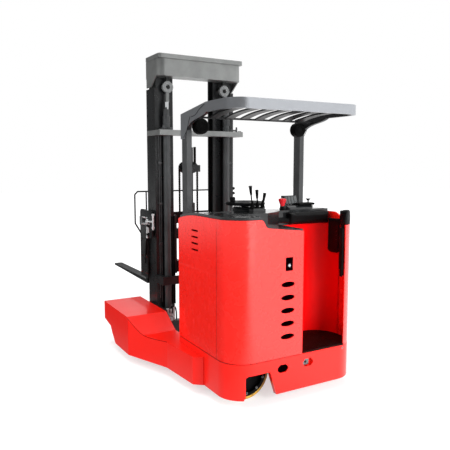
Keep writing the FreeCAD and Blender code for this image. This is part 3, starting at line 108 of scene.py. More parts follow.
class TruckSizes(bpy.types.PropertyGroup):
    """Sizes of the pieces that repeat."""
    bolt_head: FloatProperty(
        name="Wheel bolt", description="Width across the flats of a wheel bolt", default=0.013,
        unit="LENGTH")
    wheel_bolts: IntProperty(
        name="Wheel bolts", description="Bolts round the drive wheel's rim", default=10)
    rib_pitch: FloatProperty(
        name="Mat rib pitch", description="Distance between two ribs of the floor mat",
        default=0.016, unit="LENGTH")
    link_pitch: FloatProperty(
        name="Chain pitch", description="Distance between two pins of the lifting chains",
        default=0.0191, unit="LENGTH")
    pad_swell: FloatProperty(
        name="Pad swell", description="How far a pad may swell from its cut shape",
        default=0.005, unit="LENGTH")


class StageSettings(bpy.types.PropertyGroup):
    """Floor, lamps and camera."""
    key: FloatProperty(name="Key lamp", description="Power in watts", default=480.0)
    side: FloatProperty(name="Side lamp", description="Power in watts", default=205.0)
    top: FloatProperty(name="Top lamp", description="Power in watts", default=260.0)
    lens: FloatProperty(
        name="Lens", description="Focal length on a 36 mm sensor, in millimetres", default=43.39)
    eye_height: FloatProperty(
        name="Eye height", description="Height of the camera", default=1.80, unit="LENGTH")


# ---- Patterns: each is a function of a tree and a place that gives a socket ----
def tint(hex_colour):
    """Linear colour of an sRGB hex value."""
    parts = [int(hex_colour[i:i + 2], 16) / 255 for i in (1, 3, 5)]
    linear = [c / 12.92 if c <= 0.04045 else ((c + 0.055) / 1.055) ** 2.4 for c in parts]
    return (*linear, 1.0)


def add(tree, kind, inputs=None, **settings):
    """One node with its settings, values and links."""
    node = tree.nodes.new(kind)
    for name, value in settings.items():
        setattr(node, name, value)
    for name, value in (inputs or {}).items():
        if isinstance(value, bpy.types.NodeSocket):
            tree.links.new(value, node.inputs[name])
        else:
            node.inputs[name].default_value = value
    return node


def emptied(owner):
    """The empty node tree of a material or a world."""
    owner.use_nodes = True
    owner.node_tree.nodes.clear()
    return owner.node_tree


def between(pattern, low, high, start=0.0, end=1.0):
    """Goes from low, where the pattern is at start, to high, where it is at end."""
    return lambda tree, place: add(tree, "ShaderNodeMapRange", {
        "Value": pattern(tree, place), "From Min": start, "From Max": end,
        "To Min": low, "To Max": high}).outputs[0]


def patches(size, low=0.0, high=1.0, start=0.3, end=0.7, detail=2.0, stretch=(1, 1, 1)):
    """Cloudy patches about size metres across, between two limits."""
    def cloud(tree, place):
        spread = add(tree, "ShaderNodeMapping", {"Vector": place, "Scale": stretch}).outputs[0]
        return add(tree, "ShaderNodeTexNoise",
                   {"Vector": spread, "Scale": 1.0 / size, "Detail": detail}).outputs[0]
    return between(cloud, low, high, start, end)


def grain(size, detail=2.0, stretch=(1, 1, 1)):
    """The same patches over their whole range, for relief."""
    return patches(size, 0.0, 1.0, 0.0, 1.0, detail, stretch)


def along(axis):
    """The coordinate along X, Y or Z."""
    return lambda tree, place: add(tree, "ShaderNodeSeparateXYZ", {"Vector": place}).outputs[axis]


def above(level, axis="Z"):
    """1 past a level along an axis and 0 before it."""
    return lambda tree, place: add(tree, "ShaderNodeMath", {0: along(axis)(tree, place), 1: level},
                                   operation="GREATER_THAN").outputs[0]


def two_tone(pattern, first, second):
    """The first colour where the pattern is 0, the second where it is 1."""
    def colour(tree, place):
        ends = [end(tree, place) if callable(end) else tint(end) for end in (first, second)]
        return add(tree, "ShaderNodeMix", {"Factor": pattern(tree, place), 6: ends[0], 7: ends[1]},
                   data_type="RGBA").outputs[2]
    return colour


# ---- Finishes ----
def surface(name, colour, rough, reliefs, **values):
    """A material of patterns on Object coordinates. A relief is (pattern, depth, strength)."""
    material = bpy.data.materials.new(name)
    tree = emptied(material)
    place = add(tree, "ShaderNodeTexCoord").outputs["Object"]
    inputs = {"Base Color": colour(tree, place), "Roughness": rough(tree, place)}
    for pattern, depth, strength in reliefs:
        bump = {"Height": pattern(tree, place), "Distance": depth, "Strength": strength}
        if "Normal" in inputs:
            bump["Normal"] = inputs["Normal"]
        inputs["Normal"] = add(tree, "ShaderNodeBump", bump).outputs[0]
    for key, value in values.items():
        inputs[key.replace("_", " ")] = value(tree, place) if callable(value) else value
    shader = add(tree, "ShaderNodeBsdfPrincipled", inputs)
    add(tree, "ShaderNodeOutputMaterial", {"Surface": shader.outputs[0]})
    return material


def enamel(name, hex_colour, deep, peel=0.006, low=0.24, high=0.3, coat=1.0, gloss=0.5, pressed=()):
    """Sprayed gloss enamel: even colour, soft orange peel, clear gloss with faint haze."""
    # spray peel is 2 to 3 mm across and drawn twice as coarse so that it shows
    return surface(name, two_tone(patches(0.35), hex_colour, deep), patches(0.09, low, high),
                   [(grain(peel), 0.00006, 1.0), *pressed],
                   Coat_Weight=coat, Coat_Roughness=0.08, Specular_IOR_Level=gloss)


def pressed_band(tree, place):
    """The side panel stands out a little between its two shallow pressed creases."""
    steps = [add(tree, "ShaderNodeMapRange", {
        "Value": along("Z")(tree, place), "From Min": level - 0.006, "From Max": level + 0.006},
        interpolation_type="SMOOTHSTEP").outputs[0] for level in (0.76, 0.98)]
    return add(tree, "ShaderNodeMath", {0: steps[0], 1: steps[1]}, operation="SUBTRACT").outputs[0]


def satin(name, hex_colour, worn, low=0.32, high=0.5, size=0.004, depth=0.0001, streak=(1, 1, 1),
          metal=0.0, gloss=0.5):
    """Satin paint on steel: fine grain, rubbed patches a little lighter and smoother."""
    rubbed = patches(0.12, 0.0, 1.0, 0.42, 0.72, 4.0, streak)
    return surface(name, two_tone(rubbed, hex_colour, worn), patches(0.05, high, low),
                   [(grain(size), depth, 1.0)], Metallic=metal, Specular_IOR_Level=gloss)


def machined(name, hex_colour, dull, low, high):
    """Bare steel, with the fine even marks that turning or plating leaves."""
    return surface(name, two_tone(patches(0.003, detail=3.0), hex_colour, dull),
                   patches(0.003, low, high, detail=3.0), [(grain(0.003, 3.0), 0.00004, 1.0)],
                   Metallic=1.0)


def moulded(name, hex_colour, pale, size=0.0022, depth=0.00012, low=0.3, high=0.45, coat=0.0,
            gloss=0.3):
    """Injection moulded plastic with a spark-eroded grain and paler patches: faint polish marks,
    and on the console painted sheen.
    """
    def sparks(tree, place):
        return add(tree, "ShaderNodeTexVoronoi", {"Vector": place, "Scale": 1.0 / size}).outputs[0]
    return surface(name, two_tone(patches(0.16, 0.0, 1.0, 0.4, 0.75, 3.0), hex_colour, pale),
                   patches(0.07, low, high), [(sparks, depth, 1.0)],
                   Coat_Weight=coat, Coat_Roughness=0.12, Specular_IOR_Level=gloss)


def leathercloth(name):
    """Black PVC leathercloth: pebble grain about 3 mm across with creases between the pebbles."""
    def edges(tree, place):
        return add(tree, "ShaderNodeTexVoronoi", {"Vector": place, "Scale": 1.0 / 0.003},
                   feature="DISTANCE_TO_EDGE").outputs[0]
    crease = between(edges, 0.0, 1.0, 0.0, 0.12)
    return surface(name, two_tone(crease, "#020202", "#080809"), patches(0.06, 0.4, 0.55),
                   [(crease, 0.0002, 1.0), (grain(0.03), 0.0008, 0.5)], Specular_IOR_Level=0.2)


def mat_rubber(name):
    """Black-brown rubber matting, matt, with dust in its pores."""
    return surface(name, two_tone(patches(0.08, 0.0, 1.0, 0.45, 0.8, 5.0), "#090504", "#211715"),
                   patches(0.02, 0.55, 0.75), [(grain(0.002), 0.0002, 1.0)], Specular_IOR_Level=0.2)


def cast_urethane(name, hex_colour):
    """Cast polyurethane: amber to tan, waxy, with scuffs round the tread and a little depth."""
    return surface(name, two_tone(patches(0.03, 0.0, 1.0, 0.45, 0.7, 5.0), hex_colour, "#8C6A34"),
                   patches(0.03, 0.38, 0.6, 0.45, 0.7, 5.0), [(grain(0.004), 0.0002, 1.0)],
                   Subsurface_Weight=0.12, Subsurface_Radius=(0.006, 0.003, 0.001))


def sand_cast(name, hex_colour, pale):
    """Sand-cast iron under black paint: rough pebbled skin with pale dust on its high places."""
    return surface(name, two_tone(patches(0.005, 0.0, 1.0, 0.45, 0.75, 4.0), hex_colour, pale),
                   patches(0.005, 0.45, 0.65, detail=4.0), [(grain(0.005, 4.0), 0.0005, 1.0)])


def fork_steel(name):
    """Forged fork blades: dark scale, with long bright scratches where loads slide on."""
    scratch = (0.56, 0.72, 3.0, (1.0, 0.03, 1.0))
    scale = two_tone(patches(0.06, detail=4.0), "#161718", "#262728")
    return surface(name, two_tone(patches(0.004, 0.0, 1.0, *scratch), scale, "#4B4C4D"),
                   patches(0.004, 0.48, 0.3, *scratch), [(grain(0.005, 3.0), 0.0002, 1.0)],
                   Metallic=0.35)


def display_glass(name):
    """Glossy display window over a dark grey panel with a faint grid of segments."""
    def bars(tree, place):
        return add(tree, "ShaderNodeTexWave", {"Vector": place, "Scale": 10.0},
                   bands_direction="X").outputs["Fac"]
    return surface(name, two_tone(between(bars, 0.0, 1.0, 0.3, 0.5), "#121415", "#3E4243"),
                   patches(0.04, 0.06, 0.14), [], Coat_Weight=1.0, Coat_Roughness=0.03)


def rod_finish(name):
    """Hard chrome up to the rod's end, grey painted link and eye, and a black hanger above them."""
    painted, hanger = above(2.400), above(2.597)
    marks = grain(0.004, 3.0, (1.0, 1.0, 0.1))
    chrome, paint = two_tone(marks, "#D2D4D5", "#B9BCBE"), two_tone(hanger, "#6A6C6C", "#1A1B1B")
    return surface(name, two_tone(painted, chrome, paint), between(painted, 0.1, 0.42),
                   [(marks, 0.00003, 1.0)], Metallic=between(painted, 1.0, 0.0))


def guard_paint(name, hex_colour, dark):
    """Metallic grey paint that mirrors softly on the hoop, and dark satin paint on the slats that
    also spreads onto the arms' inner faces as painted shade.
    """
    def slats_and_painted_arm_shade(tree, place):
        beside = add(tree, "ShaderNodeMath", {0: along("X")(tree, place)},
                     operation="ABSOLUTE").outputs[0]
        parts = []
        # the first band is the slats; the second reaches past them onto the arms' inner faces,
        # where the dark is painted shade
        for width, start in ((0.546, 0.050), (0.586, 0.140)):
            inside = add(tree, "ShaderNodeMath", {0: beside, 1: width}, operation="LESS_THAN")
            behind = above(REAR + start, "Y")(tree, place)
            parts.append(add(tree, "ShaderNodeMath", {0: inside.outputs[0], 1: behind},
                             operation="MULTIPLY").outputs[0])
        return add(tree, "ShaderNodeMath", dict(enumerate(parts)), operation="MAXIMUM").outputs[0]
    return surface(name, two_tone(slats_and_painted_arm_shade, hex_colour, dark), patches(0.05, 0.36, 0.28),
                   [(grain(0.003), 0.00006, 1.0)], Metallic=between(slats_and_painted_arm_shade, 0.9, 0.0),
                   Specular_IOR_Level=0.3)


def make_finishes(colours):
    """Every finish by a short key."""
    return {
        "cover": enamel("red_gloss_enamel_on_sheet", colours.cover, "#F2180C", gloss=0.9),
        "panel": enamel("red_gloss_enamel_creased_panel", colours.cover, "#F2180C",
                        pressed=[(pressed_band, 0.0015, 0.6)]),
        "frame": enamel("red_thick_enamel_on_plate", colours.frame, "#F0170B", 0.009, 0.3, 0.33,
                        0.5),
        "liner": enamel("red_enamel_well_liner", colours.liner, "#E2080A", 0.008, 0.4, 0.5, 0.0,
                        0.15),
        # satin paint on rolled channel, rubbed along its length
        "mast": satin("satin_black_mast_paint", colours.mast, "#222324", 0.26, 0.38, 0.004, 0.00004,
                      (1.0, 1.0, 0.08)),
        "mast_grey": satin("grey_metallic_structural_paint", colours.head, "#939594", 0.34, 0.46,
                           0.005, 0.00006, metal=0.8),
        "guard": guard_paint("grey_metallic_guard_paint", colours.guard, "#1E1E1F"),
        "post": satin("dark_grey_powder_coat", "#3C3D3E", "#343536", 0.36, 0.5, 0.003, 0.00015),
        "lamp": satin("matt_black_cast_aluminium", "#040404", "#0A0A0A", 0.5, 0.65, 0.004, 0.0002,
                      gloss=0.12),
        # the paler patches on the console stand in for the sheen on its top: painted sheen
        "console": moulded("black_moulded_abs_with_painted_sheen", "#141516", "#292B2C", low=0.16, high=0.28,
                           coat=1.0),
        "grip": moulded("black_moulded_nylon", "#070708", "#101011", 0.003, 0.0001, 0.35, 0.5,
                        gloss=0.2),
        "rubber": moulded("black_moulded_rubber", "#080808", "#101010", 0.004, 0.0002, 0.5, 0.7,
                          gloss=0.15),
        "red_plastic": moulded("red_moulded_polycarbonate", "#B01820", "#BF2C33", 0.004, 0.00004,
                               0.22, 0.32),
        "glass": display_glass("display_window"),
        "pad": leathercloth("black_pvc_leathercloth"),
        "mat": mat_rubber("brown_black_rubber_mat"),
        "wheel": satin("black_satin_wheel_enamel", "#050506", "#0C0C0D", 0.45, 0.6, 0.005, 0.0001,
                       gloss=0.15),
        "tyre": cast_urethane("cast_polyurethane", colours.tyre),
        "eye": satin("grey_forged_steel", "#7F8181", "#6E7071", 0.35, 0.5),
        # near black without gloss: behind the vents and in the lashing hole it is painted shade in
        # the openings, while on the key plate it is the plate's own black
        "mesh": satin("matt_black_plate_and_painted_vent_shade", "#030001", "#060102", 0.7, 0.85, 0.006, 0.0006, gloss=0.0),
        "rod": rod_finish("hard_chrome_rod_and_grey_link"),
        "zinc": machined("zinc_plated_steel", "#A9ABAC", "#8B8D8E", 0.24, 0.42),
        "plated": satin("bright_zinc_plate", "#D4D6D7", "#A4A6A8", 0.22, 0.36, metal=0.3),
        "barrel": satin("dark_grey_cylinder_enamel", "#383A3B", "#424445", 0.3, 0.42, 0.005,
                        0.00005),
        "gland": satin("dark_grey_gland_paint", "#3A3B3C", "#2E2F30", 0.35, 0.5, 0.004, 0.00008),
        "turned": machined("turned_grey_steel", "#7E8081", "#5C5E5F", 0.3, 0.46),
        "chain": satin("oiled_chain_steel", "#0E0E0E", "#1C1B1A", 0.35, 0.5, 0.003, 0.0001,
                       metal=0.6),
        "cast": sand_cast("black_sand_cast_iron", "#161617", "#2B2B2C"),
        "battery": satin("grey_battery_case_enamel", "#3F4245", "#4B4E51"),
        "fork": fork_steel("forged_fork_steel"),
    }


FINISHED_NODES = {
    "frame": "chassis_frame leg_left leg_right", "cover": "rear_cover right_cover front_panel",
    "panel": "left_panel", "liner": "operator_liner", "mat": "floor_mat", "battery": "battery",
    "console": "console console_controls", "pad": "console_pad back_pad",
    "grip": "levers steering_wheel", "post": "guard_posts", "guard": "guard_roof",
    "lamp": "work_lamps", "cast": "drive_housing load_yoke_left load_yoke_right",
    "wheel": "drive_wheel", "tyre": "drive_tyre caster_wheel load_wheel_left load_wheel_right",
    "zinc": "caster_fork valve_block", "mast_grey": "mast_collar mast_head",
    "mast": "reach_carriage outer_uprights mid_uprights inner_uprights free_lift_barrel "
            "free_lift_head lift_carriage fork_frame load_backrest",
    "barrel": "lift_barrels", "rod": "lift_rods", "chain": "lift_chains",
    "fork": "fork_left fork_right",
}
NODE_FINISH = {node: key for key, nodes in FINISHED_NODES.items() for node in nodes.split()}
FINISH = {}


# ---- Making pieces ----
def placed(name, data):
    """A new object in the scene."""
    obj = bpy.data.objects.new(name, data)
    bpy.context.scene.collection.objects.link(obj)
    return obj


def piece(name, shapes, finish, body, smooth=35.0):
    """Shapes or a ready mesh as a piece of the truck, in its finish, riding on a body."""
    mesh = shapes if isinstance(shapes, bpy.types.Mesh) else mesh_of(name, shapes)
    obj = placed(name, mesh)
    mesh.materials.clear()
    mesh.materials.append(FINISH[finish])
    mesh.shade_smooth()
    mesh.set_sharp_from_angle(angle=radians(smooth))
    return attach(obj, body)


def welded(name, bm, gap):
    """The mesh of a bmesh, its doubles merged and its faces turned outwards."""
    bmesh.ops.remove_doubles(bm, verts=bm.verts, dist=gap)
    bmesh.ops.recalc_face_normals(bm, faces=bm.faces)
    mesh = bpy.data.meshes.new(name)
    bm.to_mesh(mesh)
    bm.free()
    return mesh


def mesh_of(name, shapes):
    """One mesh out of (vertices, faces) shapes."""
    bm = bmesh.new()
    for points, faces in shapes:
        verts = [bm.verts.new(p) for p in points]
        for face in faces:
            bm.faces.new([verts[i] for i in face])
    return welded(name, bm, 1e-6)


def tube(loops, closed=False):
    """Skin over loops of points in a row, with flat ends, or closed on itself."""
    n = len(loops[0])
    faces = []
    for i in range(len(loops) if closed else len(loops) - 1):
        near, far = i * n, (i + 1) % len(loops) * n
        faces += [(near + k, near + (k + 1) % n, far + (k + 1) % n, far + k) for k in range(n)]
    if not closed:
        faces += [tuple(range(n)), tuple(range((len(loops) - 1) * n, len(loops) * n))]
    return [point for loop in loops for point in loop], faces


def circle(centre, across, other, radius, sides):
    """Points round a centre in the plane of two directions."""
    turns = [2 * pi * k / sides for k in range(sides)]
    return [centre + (across * cos(turn) + other * sin(turn)) * radius for turn in turns]


def turned(profile, centre=Vector(), axis=UP, sides=32, closed=False):
    """Solid turned round an axis through centre. profile: (distance along the axis, radius)."""
    axis = Vector(axis).normalized()
    across = axis.orthogonal().normalized()
    other = axis.cross(across)
    return tube([circle(centre + axis * distance, across, other, radius, sides)
                 for distance, radius in profile], closed)


def ring(profile, centre, axis=UP, sides=48):
    """Ring: the profile of (distance along the axis, radius) is a closed loop."""
    return turned(profile, centre, axis, sides, True)


def slab(low, high, edge=0.002):
    """Box between two corners with its edges broken."""
    bm = bmesh.new()
    bmesh.ops.create_cube(bm, size=1.0)
    size = Vector(high) - Vector(low)
    middle = (Vector(high) + Vector(low)) / 2
    for vert in bm.verts:
        vert.co = middle + vert.co * size
    bmesh.ops.bevel(bm, geom=bm.edges[:], offset=min(edge, min(size) * 0.45), segments=2,
                    affect="EDGES", profile=0.5)
    bm.verts.index_update()
    shape = ([v.co.copy() for v in bm.verts], [tuple(v.index for v in f.verts) for f in bm.faces])
    bm.free()
    return shape


def swept(path, radius, sides=10, steps=8):
    """Round bar or hose along a smooth curve through (x, y from the rear face, z) points."""
    path = [at(*point) for point in path]
    spine = []
    for i in range(len(path) - 1):
        before, start, end, after = (path[min(max(j, 0), len(path) - 1)]
                                     for j in range(i - 1, i + 3))
        for t in (k / steps for k in range(steps)):
            spine.append(0.5 * (2 * start + (end - before) * t
                                + (2 * before - 5 * start + 4 * end - after) * t * t
                                + (3 * start - before - 3 * end + after) * t ** 3))
    spine.append(path[-1])
    across = (spine[1] - spine[0]).orthogonal().normalized()
    loops = []
    for i, middle in enumerate(spine):
        run = (spine[min(i + 1, len(spine) - 1)] - spine[max(i - 1, 0)]).normalized()
        across = (across - run * across.dot(run)).normalized()
        loops.append(circle(middle, across, run.cross(across), radius, sides))
    return tube(loops)


def hex_bolt(flats, centre=Vector(), axis=UP, washer=True):
    """Hexagon bolt head with a chamfered top on a washer."""
    r, h = flats / sqrt(3), flats * 0.6
    shapes = [turned([(0.0, r), (h * 0.8, r), (h, r * 0.8)], centre, axis, 6)]
    if washer:
        shapes.append(turned([(0.0, r * 1.5), (0.0018, r * 1.5), (0.002, r * 1.4)],
                             centre, axis, 24))
    return shapes


def cap_screw(r):
    """Domed screw head with a countersunk rim."""
    return [turned([(0.0, r), (r * 0.25, r), (r * 0.5, r * 0.8), (r * 0.62, r * 0.4)], sides=16)]


def banjo(centre, axis, r):
    """Hose fitting: hexagon, collar and crimped sleeve along the axis."""
    return [turned([(0.0, r), (0.012, r), (0.014, r * 0.85)], centre, axis, 6),
            turned([(0.012, r * 0.7), (0.02, r * 0.7), (0.021, r * 0.95), (0.036, r * 0.95),
                    (0.038, r * 0.75), (0.05, r * 0.7)], centre, axis, 16)]


# ---- Geometry Nodes ----
def scatter_tree():
    """A shape at each point of the carrier mesh, turned by the point's angles."""
    tree = bpy.data.node_groups.new("pieces_on_points", "GeometryNodeTree")
    for label, kind in (("Geometry", "Geometry"), ("Piece", "Object"), ("Scale", "Float"),
                        ("Material", "Material")):
        tree.interface.new_socket(label, in_out="INPUT", socket_type="NodeSocket" + kind)
    tree.interface.new_socket("Geometry", in_out="OUTPUT", socket_type="NodeSocketGeometry")
    given = add(tree, "NodeGroupInput").outputs
    source = add(tree, "GeometryNodeObjectInfo", {"Object": given["Piece"]})
    angles = add(tree, "GeometryNodeInputNamedAttribute", {"Name": "angles"},
                 data_type="FLOAT_VECTOR")
    turn = add(tree, "FunctionNodeEulerToRotation", {0: angles.outputs[0]})
    points = add(tree, "GeometryNodeInstanceOnPoints",
                 {"Points": given["Geometry"], "Instance": source.outputs["Geometry"],
                  "Rotation": turn.outputs[0], "Scale": given["Scale"]})
    real = add(tree, "GeometryNodeRealizeInstances", {"Geometry": points.outputs[0]})
    done = add(tree, "GeometryNodeSetMaterial",
               {"Geometry": real.outputs[0], "Material": given["Material"]})
    add(tree, "NodeGroupOutput", {"Geometry": done.outputs[0]})
    return tree


def made_real(obj):
    """The mesh that an object's modifiers give, as a mesh of its own."""
    evaluated = obj.evaluated_get(bpy.context.evaluated_depsgraph_get())
    mesh = bpy.data.meshes.new_from_object(evaluated)
    obj.modifiers.clear()
    return mesh


def repeated(name, shapes, places, finish, body, scale=1.0):
    """The shapes, made facing +Z, at each place: (point, facing) or (point, facing, along X)."""
    pattern = placed(name + "_pattern", mesh_of(name + "_pattern", shapes))
    points = bpy.data.meshes.new(name + "_points")
    points.from_pydata([place[0] for place in places], [], [])
    angles = points.attributes.new("angles", "FLOAT_VECTOR", "POINT")
    for i, (_, facing, *x_axis) in enumerate(places):
        z_axis = Vector(facing).normalized()
        x_axis = Vector(x_axis[0]) if x_axis else z_axis.orthogonal()
        x_axis = (x_axis - z_axis * x_axis.dot(z_axis)).normalized()
        turn = Matrix((x_axis, z_axis.cross(x_axis), z_axis)).transposed()
        angles.data[i].vector = turn.to_euler()
    carrier = placed(name + "_points", points)
    modifier = carrier.modifiers.new("repeat", "NODES")
    tree = bpy.data.node_groups.get("pieces_on_points") or scatter_tree()
    modifier.node_group = tree
    identifiers = {s.name: s.identifier for s in tree.interface.items_tree if s.in_out == "INPUT"}
    for label, value in (("Piece", pattern), ("Scale", scale), ("Material", FINISH[finish])):
        modifier[identifiers[label]] = value
    mesh = made_real(carrier)
    bpy.data.objects.remove(carrier)
    bpy.data.objects.remove(pattern)
    if not mesh.polygons:
        raise RuntimeError(f"{name} came out empty")
    return piece(name, mesh, finish, body)


# ---- Operators ----
def area_lamp(name, power, size, place, target):
    """Square lamp aimed at a point; gloss shows the surround, not the lamp."""
    data = bpy.data.lights.new(name, "AREA")
    data.energy, data.size = power, size
    lamp = placed(name, data)
    lamp.location = place
    lamp.rotation_euler = (Vector(target) - Vector(place)).to_track_quat("-Z", "Y").to_euler()
    lamp.visible_glossy = False


def stage_world():
    """White behind the truck, even light on it, and reflections that darken towards its left."""
    bpy.context.scene.world = world = bpy.data.worlds.new("studio")
    tree = emptied(world)
    ray = add(tree, "ShaderNodeLightPath").outputs
    seen = add(tree, "ShaderNodeMath", {0: ray["Is Camera Ray"], 1: ray["Is Transmission Ray"]},
               operation="MAXIMUM").outputs[0]
    direction = add(tree, "ShaderNodeTexCoord").outputs["Generated"]
    mirrored = between(along("X"), 0.1, 1.0, 0.2, 0.42)(tree, direction)
    light = add(tree, "ShaderNodeMapRange", {"Value": ray["Is Glossy Ray"], "To Min": 0.42,
                                             "To Max": mirrored}).outputs[0]
    strength = add(tree, "ShaderNodeMath", {0: seen, 1: light}, operation="MAXIMUM").outputs[0]
    sky = add(tree, "ShaderNodeBackground", {"Color": (1, 1, 1, 1), "Strength": strength})
    add(tree, "ShaderNodeOutputWorld", {"Surface": sky.outputs[0]})


def floor_finish():
    """Pale painted floor: white to the camera, with the truck's soft shadow, and white in the
    reflections of the truck's right and rear."""
    def distance(tree, place):
        return add(tree, "ShaderNodeVectorMath", {0: place}, operation="LENGTH").outputs["Value"]

    material = bpy.data.materials.new("pale_studio_floor")
    tree = emptied(material)
    ray = add(tree, "ShaderNodeLightPath").outputs
    place = add(tree, "ShaderNodeTexCoord").outputs["Object"]
    matt = add(tree, "ShaderNodeBsdfDiffuse", {"Color": tint("#C4C4C4")})
    lift = add(tree, "ShaderNodeMath", {0: ray["Is Camera Ray"],
                                        1: between(distance, 0.55, 1.0, 2.2, 5.0)(tree, place)},
               operation="MULTIPLY").outputs[0]
    glow = add(tree, "ShaderNodeEmission", {"Color": (1, 1, 1, 1), "Strength": lift})
    both = add(tree, "ShaderNodeAddShader", {0: matt.outputs[0], 1: glow.outputs[0]})
    bright = add(tree, "ShaderNodeMath", {0: between(along("X"), 0.02, 1.0, -1.2, 0.4)(tree, place),
                                          1: between(distance, 0.0, 0.45, 5.5, 12.0)(tree, place)},
                 operation="MAXIMUM").outputs[0]
    mirrored = add(tree, "ShaderNodeEmission", {"Color": (1, 1, 1, 1), "Strength": bright})
    shown = add(tree, "ShaderNodeMixShader", {0: ray["Is Glossy Ray"], 1: both.outputs[0],
                                              2: mirrored.outputs[0]})
    add(tree, "ShaderNodeOutputMaterial", {"Surface": shown.outputs[0]})
    return material


class TRUCK_OT_stage(bpy.types.Operator):
    """Make the floor, the soft lamps, the white surround and the camera"""
    bl_idname = "truck.stage"
    bl_label = "Stage"

    def execute(self, context):
        stage = context.scene.truck_stage
        mesh = bpy.data.meshes.new("studio_floor")
        corners = [(-30, -30, 0), (30, -30, 0), (30, 30, 0), (-30, 30, 0)]
        mesh.from_pydata(corners, [], [(0, 1, 2, 3)])
        mesh.materials.append(floor_finish())
        floor = placed("studio_floor", mesh)
        stage_world()
        area_lamp("key_lamp", stage.key, 3.0, (0.9, -6.4, 1.9), (0.0, -1.0, 0.9))
        area_lamp("side_lamp", stage.side, 3.6, (-5.6, -0.4, 3.0), (0.0, -0.4, 1.1))
        area_lamp("top_lamp", stage.top, 4.0, (-0.6, 0.6, 6.2), (0.0, 0.0, 0.5))
        data = bpy.data.cameras.new("camera")
        data.lens, data.sensor_width = stage.lens, 36.0
        context.scene.camera = camera = placed("camera", data)
        camera.location = (-2.488, -4.837, stage.eye_height)
        camera.rotation_euler = (radians(90 - 6.416), 0.0, radians(-29.66))
        context.scene.view_settings.view_transform = "Standard"
        return {"FINISHED"}


class TRUCK_OT_finishes(bpy.types.Operator):
    """Give every node of the frame its finish"""
    bl_idname = "truck.finishes"
    bl_label = "Finishes"

    def execute(self, context):
        FINISH.update(make_finishes(context.scene.truck_colours))
        for name, obj in frame["nodes"].items():
            if name not in NODE_FINISH:
                raise RuntimeError(f"no finish is named for {name}")
            for slot in obj.material_slots:
                slot.material = FINISH[NODE_FINISH[name]]
        return {"FINISHED"}


def swollen(name, node, voxel, cap, body):
    """A pad in a node's shape, drawn in a little and blown up by cloth, its points held near."""
    bm = bmesh.new()
    bm.from_mesh(frame["nodes"][node].data)
    obj = placed(name, welded(name, bm, 1e-5))

    def smooth(rounds):
        modifier = obj.modifiers.new("smooth", "SMOOTH")
        modifier.factor, modifier.iterations = 0.5, rounds
        obj.data = made_real(obj)

    remesh = obj.modifiers.new("remesh", "REMESH")
    remesh.mode, remesh.voxel_size = "VOXEL", voxel
    smooth(4)
    start = [v.co - v.normal * cap * 0.5 for v in obj.data.vertices]
    for vert, place in zip(obj.data.vertices, start):
        vert.co = place
    cloth = obj.modifiers.new("cloth", "CLOTH")
    cloth.settings.quality = 5
    cloth.settings.use_pressure = True
    cloth.settings.uniform_pressure_force = 4.0
    cloth.settings.effector_weights.gravity = 0.0
    cloth.settings.tension_stiffness = 40.0
    cloth.point_cache.frame_start, cloth.point_cache.frame_end = 1, 20
    for step in range(1, 21):
        bpy.context.scene.frame_set(step)
    obj.data = made_real(obj)
    for vert, place in zip(obj.data.vertices, start):
        moved = vert.co - place
        if moved.length > cap:
            vert.co = place + moved * (cap / moved.length)
    bpy.context.scene.frame_set(1)
    smooth(2)
    obj.data.materials.clear()
    obj.data.materials.append(FINISH["pad"])
    obj.data.shade_smooth()
    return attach(obj, body)


class TRUCK_OT_pads(bpy.types.Operator):
    """Make the padded edge of the console and the two pads of the well"""
    bl_idname = "truck.pads"
    bl_label = "Pads"

    def execute(self, context):
        swell = context.scene.truck_sizes.pad_swell
        for name, node, fill in (("console_edge_pad", "console_pad", 0.8),
                                 ("well_pads", "back_pad", 0.7)):
            pad = swollen(name, node, 0.004, swell, "chassis")
            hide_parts(node)
        return {"FINISHED"}


def rounded_rib(x, y_low, y_high, z, width=0.007, height=0.0025):
    """Low rib with a rounded back along Y."""
    section = [(-width / 2, 0.0), (-width * 0.38, height * 0.8), (0.0, height),
               (width * 0.38, height * 0.8), (width / 2, 0.0)]
    return tube([[at(x + a, y, z + b) for a, b in section] for y in (y_low, y_high)])


class TRUCK_OT_mat_ribs(bpy.types.Operator):
    """Lay the ribs of the floor mat from its rear edge to the round corner of the well"""
    bl_idname = "truck.mat_ribs"
    bl_label = "Mat ribs"

    def execute(self, context):
        pitch = context.scene.truck_sizes.rib_pitch
        low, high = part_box("floor_mat")
        front = high.y - REAR - 0.012
        right, corner = 0.436, 0.200
        shapes = []
        x = low.x + 0.03
        while x < right - 0.012:
            over = max(0.0, x - (right - corner))
            reach = front - (corner - sqrt(max(corner ** 2 - over ** 2, 0.0)))
            shapes.append(rounded_rib(x, 0.02, reach - 0.012, high.z))
            x += pitch
        piece("mat_ribs", shapes, "mat", "chassis", 60.0)
        return {"FINISHED"}


